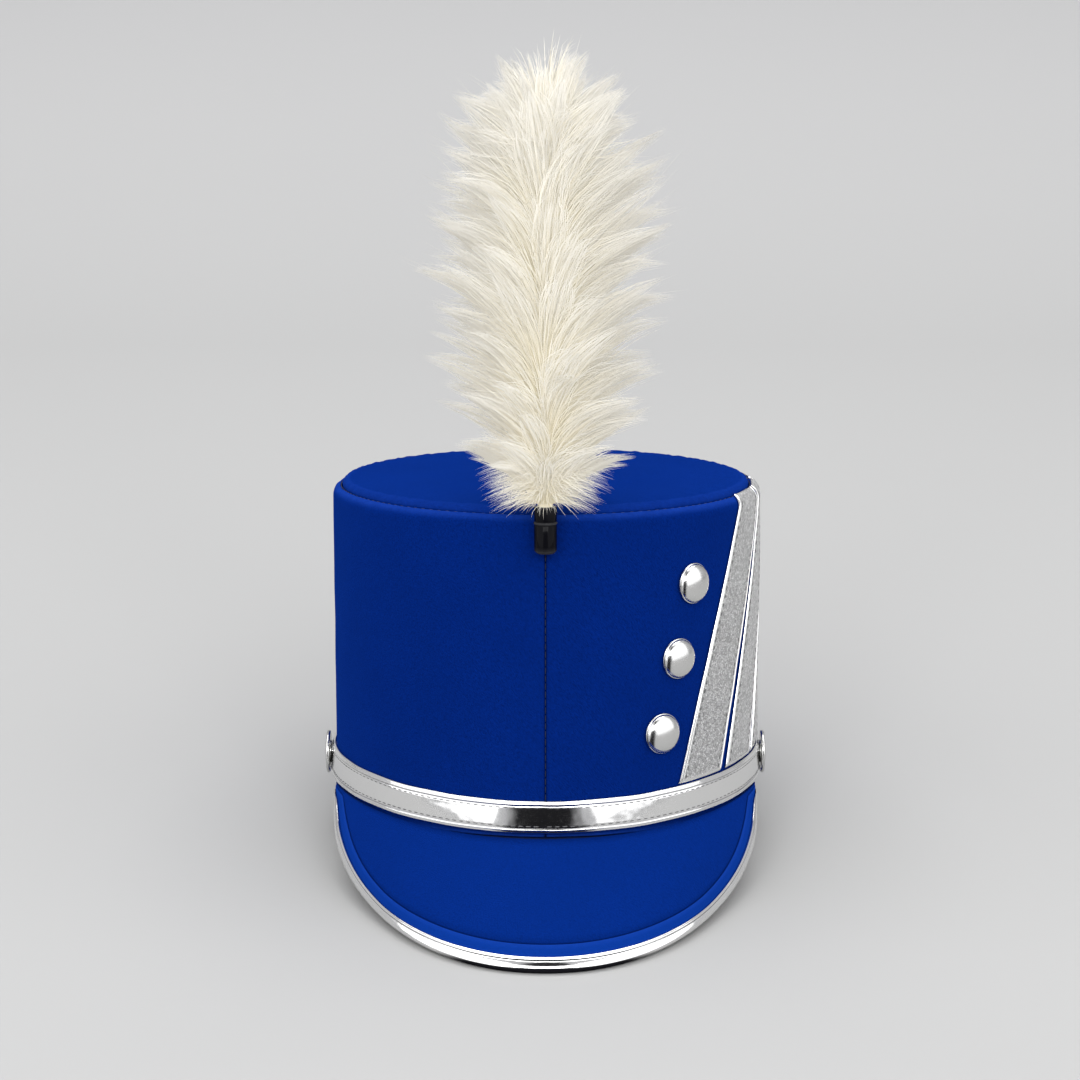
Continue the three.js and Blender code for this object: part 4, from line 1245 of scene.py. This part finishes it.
def crown_barb_paths(rng, count, steps):
    """The barbs of the tip, which stand up and lean outwards in pointed locks."""
    lock_rng = np.random.default_rng(12)
    lock_turn = 2.4 * np.arange(TIP_LOCKS) + lock_rng.normal(0, 0.2, TIP_LOCKS)
    lock_lean = PLUME_REACH * np.linspace(0.06, 0.88, TIP_LOCKS)
    drop = 0.1 * (lock_lean / PLUME_REACH) ** 2
    lock_tip = PLUME_HEIGHT * (1.0 - drop - lock_rng.uniform(0, 0.045, TIP_LOCKS))
    lock = rng.integers(0, TIP_LOCKS, count)
    turn, lean, top = lock_turn[lock], lock_lean[lock], lock_tip[lock]
    low = PLUME_HEIGHT * rng.uniform(0.6, 0.8, count)
    middle = 0.5 * (low + top)
    drawn = rng.random(count) < 0.7
    cut = np.where(drawn, 1 - 0.4 * rng.random(count) ** 1.6, 1.0)
    bend = aside(turn, 0.5 * lean, middle + 5)
    guide = bezier(aside(turn, 1.0, low), bend, aside(turn, lean, top), steps, cut)
    own_turn = turn + rng.normal(0, 0.45, count)
    own_lean = lean * rng.uniform(0.6, 1.15, count)
    own_top = top - np.where(drawn, 2.0, 14.0 + 20.0 * rng.random(count))
    own = bezier(
        aside(own_turn, rng.uniform(0.5, 3.0, count), low),
        aside(own_turn, 0.5 * own_lean, 0.5 * (low + own_top) + 4),
        aside(own_turn, own_lean, own_top),
        steps, cut,
    )
    gather = np.where(drawn, rng.uniform(0.88, 1.0, count), rng.uniform(0.0, 0.4, count))[:, None, None]
    pull = (np.linspace(0, 1, steps)[None, :, None] * cut[:, None, None]) ** 1.3
    return own + (guide - own) * gather * pull


def plume_to_hat(points):
    """Stands the plume on the socket's mouth."""
    return points + [0.0, SOCKET_AXIS_Y, SOCKET_TOP]


def make_plume_stem():
    """The stem in the socket, the wrapped foot and the quill that the barbs grow from."""
    profile = [(0, -16.8), (2.5, -16.8), (2.9, -16.4), (2.9, 0.2), (3.1, 1.0), (3.2, 3.0)]
    profile += [(2.6, 9.0), (2.2, 40.0), (1.8, 90.0), (1.2, 140.0), (0.5, 168.0), (0, 170.0)]
    points, faces = turned(profile, 20)
    masks = {"reach": np.zeros(len(points)), "own_tone": np.full(len(points), 0.5)}
    add_piece("plume_quill", plume_to_hat(points), faces, "soft_feather",
              ["plume"], masks, 60, "plume")


def make_barbs():
    """All the barbs, in a few pieces that each fill the whole plume."""
    sizes = bpy.context.scene.shako_plume
    each = sizes.barb_count // BARB_PIECES
    upright = int(TIP_SHARE * each)
    foot = int(FOOT_SHARE * each)
    body = each - upright - foot
    for number in range(BARB_PIECES):
        rng = np.random.default_rng(sizes.seed + number)
        paths = np.concatenate([
            barb_paths(rng, body, BARB_STEPS),
            foot_barb_paths(rng, foot, BARB_STEPS),
            crown_barb_paths(rng, upright, BARB_STEPS),
        ])
        loose = np.linspace(0.3, 1, BARB_STEPS - 1)[None, :, None]
        paths[:, 1:, :] += rng.normal(0, 0.35, (len(paths), BARB_STEPS - 1, 3)) * loose
        widths = sizes.barb_width * 1000 * rng.uniform(0.75, 1.25, len(paths))
        widths[body:body + foot] *= 0.65
        points, faces, share, per, normals = strands(paths, widths)
        masks = {"reach": np.clip(share * 1.1, 0, 1), "own_tone": np.repeat(rng.random(len(paths)) ** 2, per)}
        add_piece(f"plume_barbs_{number + 1}", plume_to_hat(points), faces, "soft_feather",
                  masks=masks, body="plume", mend=False, normals=normals @ AXES)


# Stage

CAMERA_PLACE = (0.0, -1400.0, 323.2)
CAMERA_PITCH = 8.63
PHOTO_CENTRE_SHIFT = 5.5  # in the photograph's pixels
PHOTO_WIDTH = 1080
LAMPS = (
    # name, place, target, width and height in metres, share of a side lamp's power
    ("left_lamp", (2.08, -1.2, 1.5), (0, 0, 0.2), (4.0, 3.2), 1.0),
    ("right_lamp", (-2.08, -1.2, 1.5), (0, 0, 0.2), (4.0, 3.2), 1.0),
    ("top_lamp", (0.0, 0.5, 2.5), (0, 0, 0.1), (3.0, 1.8), 1.15),
    ("front_lamp", (0.0, -2.6, 2.0), (0, 0, 0.15), (3.0, 1.0), 1.25),
)


def turned_to(right, up, back, place):
    """The matrix of a camera or lamp from its own three directions and its place."""
    rows = [[right[i], up[i], back[i], place[i]] for i in range(3)]
    return Matrix(rows + [[0.0, 0.0, 0.0, 1.0]])


def make_camera():
    """Stands where the photograph was taken from, in the hat's frame."""
    sizes = bpy.context.scene.shako_stage
    data = bpy.data.cameras.new("photo_camera")
    camera = bpy.data.objects.new("photo_camera", data)
    bpy.context.scene.collection.objects.link(camera)
    data.sensor_width = 36.0
    data.lens = sizes.lens
    data.shift_x = -PHOTO_CENTRE_SHIFT / PHOTO_WIDTH
    pitch = math.radians(CAMERA_PITCH)
    look = np.array([0.0, math.cos(pitch), -math.sin(pitch)]) @ AXES
    up = np.cross(SIDE, look)
    camera.matrix_world = turned_to(SIDE, up, -look, to_world(CAMERA_PLACE))
    data.clip_end = 100.0
    bpy.context.scene.camera = camera


def make_floor():
    """A wide floor that curves up far behind the hat."""
    rise = [(-14.0, 0.0), (6.0, 0.0), (8.0, 0.15), (9.6, 0.8), (10.6, 2.0), (11.0, 4.0), (11.0, 9.0)]
    rows = np.array([[[x, y, z] for x in np.linspace(-14, 14, 9)] for y, z in rise])
    points, faces = loft(rows, ring_closed=False)
    mesh = bpy.data.meshes.new("floor")
    mesh.from_pydata(points.tolist(), [], faces)
    mesh.shade_smooth()
    mesh.materials.append(finish("pale_floor"))
    floor = bpy.data.objects.new("floor", mesh)
    bpy.context.scene.collection.objects.link(floor)


def make_lamp(name, place, target, size, power):
    """A soft rectangular lamp that looks at a target, out of the camera's sight."""
    data = bpy.data.lights.new(name, "AREA")
    data.shape = "RECTANGLE"
    data.size = size[0]
    data.size_y = size[1]
    data.energy = power
    lamp = bpy.data.objects.new(name, data)
    bpy.context.scene.collection.objects.link(lamp)
    place = np.array(place, dtype=float)
    away = normalised(place - np.array(target, dtype=float))
    right = normalised(np.cross([0.0, 0.0, 1.0], away))
    lamp.matrix_world = turned_to(right, np.cross(away, right), away, place)
    lamp.visible_camera = False


def make_world():
    """Soft studio air: pale to the camera, and unlit in a narrow sector on the photographer's side."""
    strength = bpy.context.scene.shako_stage.air_strength
    world = bpy.data.worlds.new("studio_air")
    world.use_nodes = True
    bpy.context.scene.world = world
    tree = world.node_tree
    tree.nodes.clear()
    direction = node(tree, "ShaderNodeTexCoord").outputs["Generated"]
    air = blend(tree, front_band(tree, direction), (strength, strength, 1.03 * strength), (0.01, 0.01, 0.012))
    seen = node(tree, "ShaderNodeLightPath").outputs["Is Camera Ray"]
    colour = blend(tree, seen, air, (0.8, 0.81, 0.82))
    back = node(tree, "ShaderNodeBackground", {"Strength": 1.0}, {"Color": colour})
    node(tree, "ShaderNodeOutputWorld", None, {"Surface": back.outputs[0]})


# Settings

class ShakoFeltSettings(bpy.types.PropertyGroup):
    """Sizes and colours of the felt."""

    colour: FloatVectorProperty(
        name="Felt colour", description="Colour of the napped felt",
        subtype="COLOR", size=3, min=0, max=1, default=(0.0009, 0.0131, 0.130))
    border_colour: FloatVectorProperty(
        name="Border colour", description="Colour of the visor's raised border",
        subtype="COLOR", size=3, min=0, max=1, default=(0.0030, 0.0300, 0.225))
    lining_colour: FloatVectorProperty(
        name="Lining colour", description="Colour inside the crown and under the visor",
        subtype="COLOR", size=3, min=0, max=1, default=(0.012, 0.012, 0.014))
    grain_size: FloatProperty(
        name="Grain size", description="Width of the felt's fibres",
        default=0.0005, min=0.0001, max=0.01, unit="LENGTH", precision=5)
    sheen: FloatProperty(
        name="Nap sheen", description="How much the nap brightens at a glancing angle",
        default=0.12, min=0, max=1, subtype="FACTOR")


class ShakoTrimSettings(bpy.types.PropertyGroup):
    """Colours and finish of the silver trim."""

    silver_colour: FloatVectorProperty(
        name="Silver colour", description="Colour of the silver sheet",
        subtype="COLOR", size=3, min=0, max=1, default=(0.76, 0.76, 0.755))
    silver_roughness: FloatProperty(
        name="Silver roughness", description="Blur of the mirror strap's reflections",
        default=0.11, min=0, max=1, subtype="FACTOR")
    crackle_size: FloatProperty(
        name="Crackle size", description="Width of a flake of the crackled stripes",
        default=0.0009, min=0.0003, max=0.01, unit="LENGTH", precision=5)


class ShakoPlumeSettings(bpy.types.PropertyGroup):
    """Sizes and colours of the plume."""

    barb_count: IntProperty(
        name="Barbs", description="How many barbs the plume has", default=27200, min=400, max=28400)
    barb_width: FloatProperty(
        name="Barb width", description="Width of a barb at its root",
        default=0.0004, min=0.0001, max=0.002, unit="LENGTH", precision=5)
    seed: IntProperty(name="Seed", description="Which way the barbs fall", default=4, min=0, max=999)
    quill_colour: FloatVectorProperty(
        name="Quill colour", description="Colour of the down near the quill",
        subtype="COLOR", size=3, min=0, max=1, default=(0.7, 0.63, 0.45))
    tip_colour: FloatVectorProperty(
        name="Tip colour", description="Colour of the barbs' tips",
        subtype="COLOR", size=3, min=0, max=1, default=(0.645, 0.63, 0.59))


class ShakoStageSettings(bpy.types.PropertyGroup):
    """Camera, floor and light."""

    lens: FloatProperty(
        name="Focal length", description="The camera's focal length in millimetres",
        default=105.0, min=10, max=400)
    floor_colour: FloatVectorProperty(
        name="Floor colour", description="Colour of the floor",
        subtype="COLOR", size=3, min=0, max=1, default=(0.375, 0.375, 0.373))
    lamp_power: FloatProperty(
        name="Lamp power", description="Power of each side lamp", default=48.0, min=0, max=500, unit="POWER")
    air_strength: FloatProperty(
        name="Air light", description="Strength of the light from all round", default=0.6, min=0, max=5)


# Operators

class SHAKO_OT_stage(bpy.types.Operator):
    """Sets up the camera, floor, lamps and air"""

    bl_idname = "shako.stage"
    bl_label = "Make the stage"

    def execute(self, context):
        make_camera()
        make_floor()
        power = context.scene.shako_stage.lamp_power
        for name, place, target, size, share in LAMPS:
            make_lamp(name, place, target, size, share * power)
        make_world()
        context.scene.view_settings.view_transform = "Standard"
        return {"FINISHED"}


class SHAKO_OT_crown(bpy.types.Operator):
    """Makes the felt wall, the top panel and their seams"""

    bl_idname = "shako.crown"
    bl_label = "Make the crown"

    def execute(self, context):
        make_crown_wall()
        make_top_panel()
        make_seam_stitches()
        return {"FINISHED"}


class SHAKO_OT_visor(bpy.types.Operator):
    """Makes the visor and the binding round its edge"""

    bl_idname = "shako.visor"
    bl_label = "Make the visor"

    def execute(self, context):
        make_visor()
        make_binding()
        return {"FINISHED"}


class SHAKO_OT_chin_strap(bpy.types.Operator):
    """Makes the chin strap and its stitches"""

    bl_idname = "shako.chin_strap"
    bl_label = "Make the chin strap"

    def execute(self, context):
        make_chin_strap()
        make_strap_stitches()
        return {"FINISHED"}


class SHAKO_OT_buttons(bpy.types.Operator):
    """Makes the side buttons and the dome buttons"""

    bl_idname = "shako.buttons"
    bl_label = "Make the buttons"

    def execute(self, context):
        make_side_buttons()
        make_dome_buttons()
        return {"FINISHED"}


class SHAKO_OT_stripes(bpy.types.Operator):
    """Makes the crackled stripes and their stitches"""

    bl_idname = "shako.stripes"
    bl_label = "Make the stripes"

    def execute(self, context):
        for index in range(STRIPE_COUNT):
            make_stripe(index)
        make_stripe_stitches()
        return {"FINISHED"}


class SHAKO_OT_socket(bpy.types.Operator):
    """Makes the plume's socket"""

    bl_idname = "shako.socket"
    bl_label = "Make the socket"

    def execute(self, context):
        make_socket()
        return {"FINISHED"}


class SHAKO_OT_plume(bpy.types.Operator):
    """Makes the plume's stem and barbs"""

    bl_idname = "shako.plume"
    bl_label = "Make the plume"

    def execute(self, context):
        make_plume_stem()
        make_barbs()
        return {"FINISHED"}


STEPS = ("stage", "crown", "visor", "chin_strap", "buttons", "stripes", "socket", "plume")


class SHAKO_PT_panel(bpy.types.Panel):
    """Lists the hat's pieces and their settings."""

    bl_idname = "SHAKO_PT_panel"
    bl_label = "Shako hat"
    bl_space_type = "VIEW_3D"
    bl_region_type = "UI"
    bl_category = "Shako"

    def draw(self, context):
        for step in STEPS:
            self.layout.operator("shako." + step)
        for settings in (context.scene.shako_felt, context.scene.shako_trim, context.scene.shako_plume,
                         context.scene.shako_stage):
            box = self.layout.box()
            for name in settings.bl_rna.properties.keys():
                if name not in ("rna_type", "name"):
                    box.prop(settings, name)


SETTINGS = {
    "shako_felt": ShakoFeltSettings,
    "shako_trim": ShakoTrimSettings,
    "shako_plume": ShakoPlumeSettings,
    "shako_stage": ShakoStageSettings,
}
CLASSES = (
    *SETTINGS.values(), SHAKO_OT_stage, SHAKO_OT_crown, SHAKO_OT_visor, SHAKO_OT_chin_strap, SHAKO_OT_buttons,
    SHAKO_OT_stripes, SHAKO_OT_socket, SHAKO_OT_plume, SHAKO_PT_panel,
)


def register():
    for item in CLASSES:
        bpy.utils.register_class(item)
    for name, item in SETTINGS.items():
        setattr(bpy.types.Scene, name, PointerProperty(type=item))


def unregister():
    for name in SETTINGS:
        delattr(bpy.types.Scene, name)
    for item in reversed(CLASSES):
        bpy.utils.unregister_class(item)


def main():
    register()
    for step in STEPS:
        getattr(bpy.ops.shako, step)()
    bpy.context.view_layer.update()


if __name__ == "__main__":
    main()
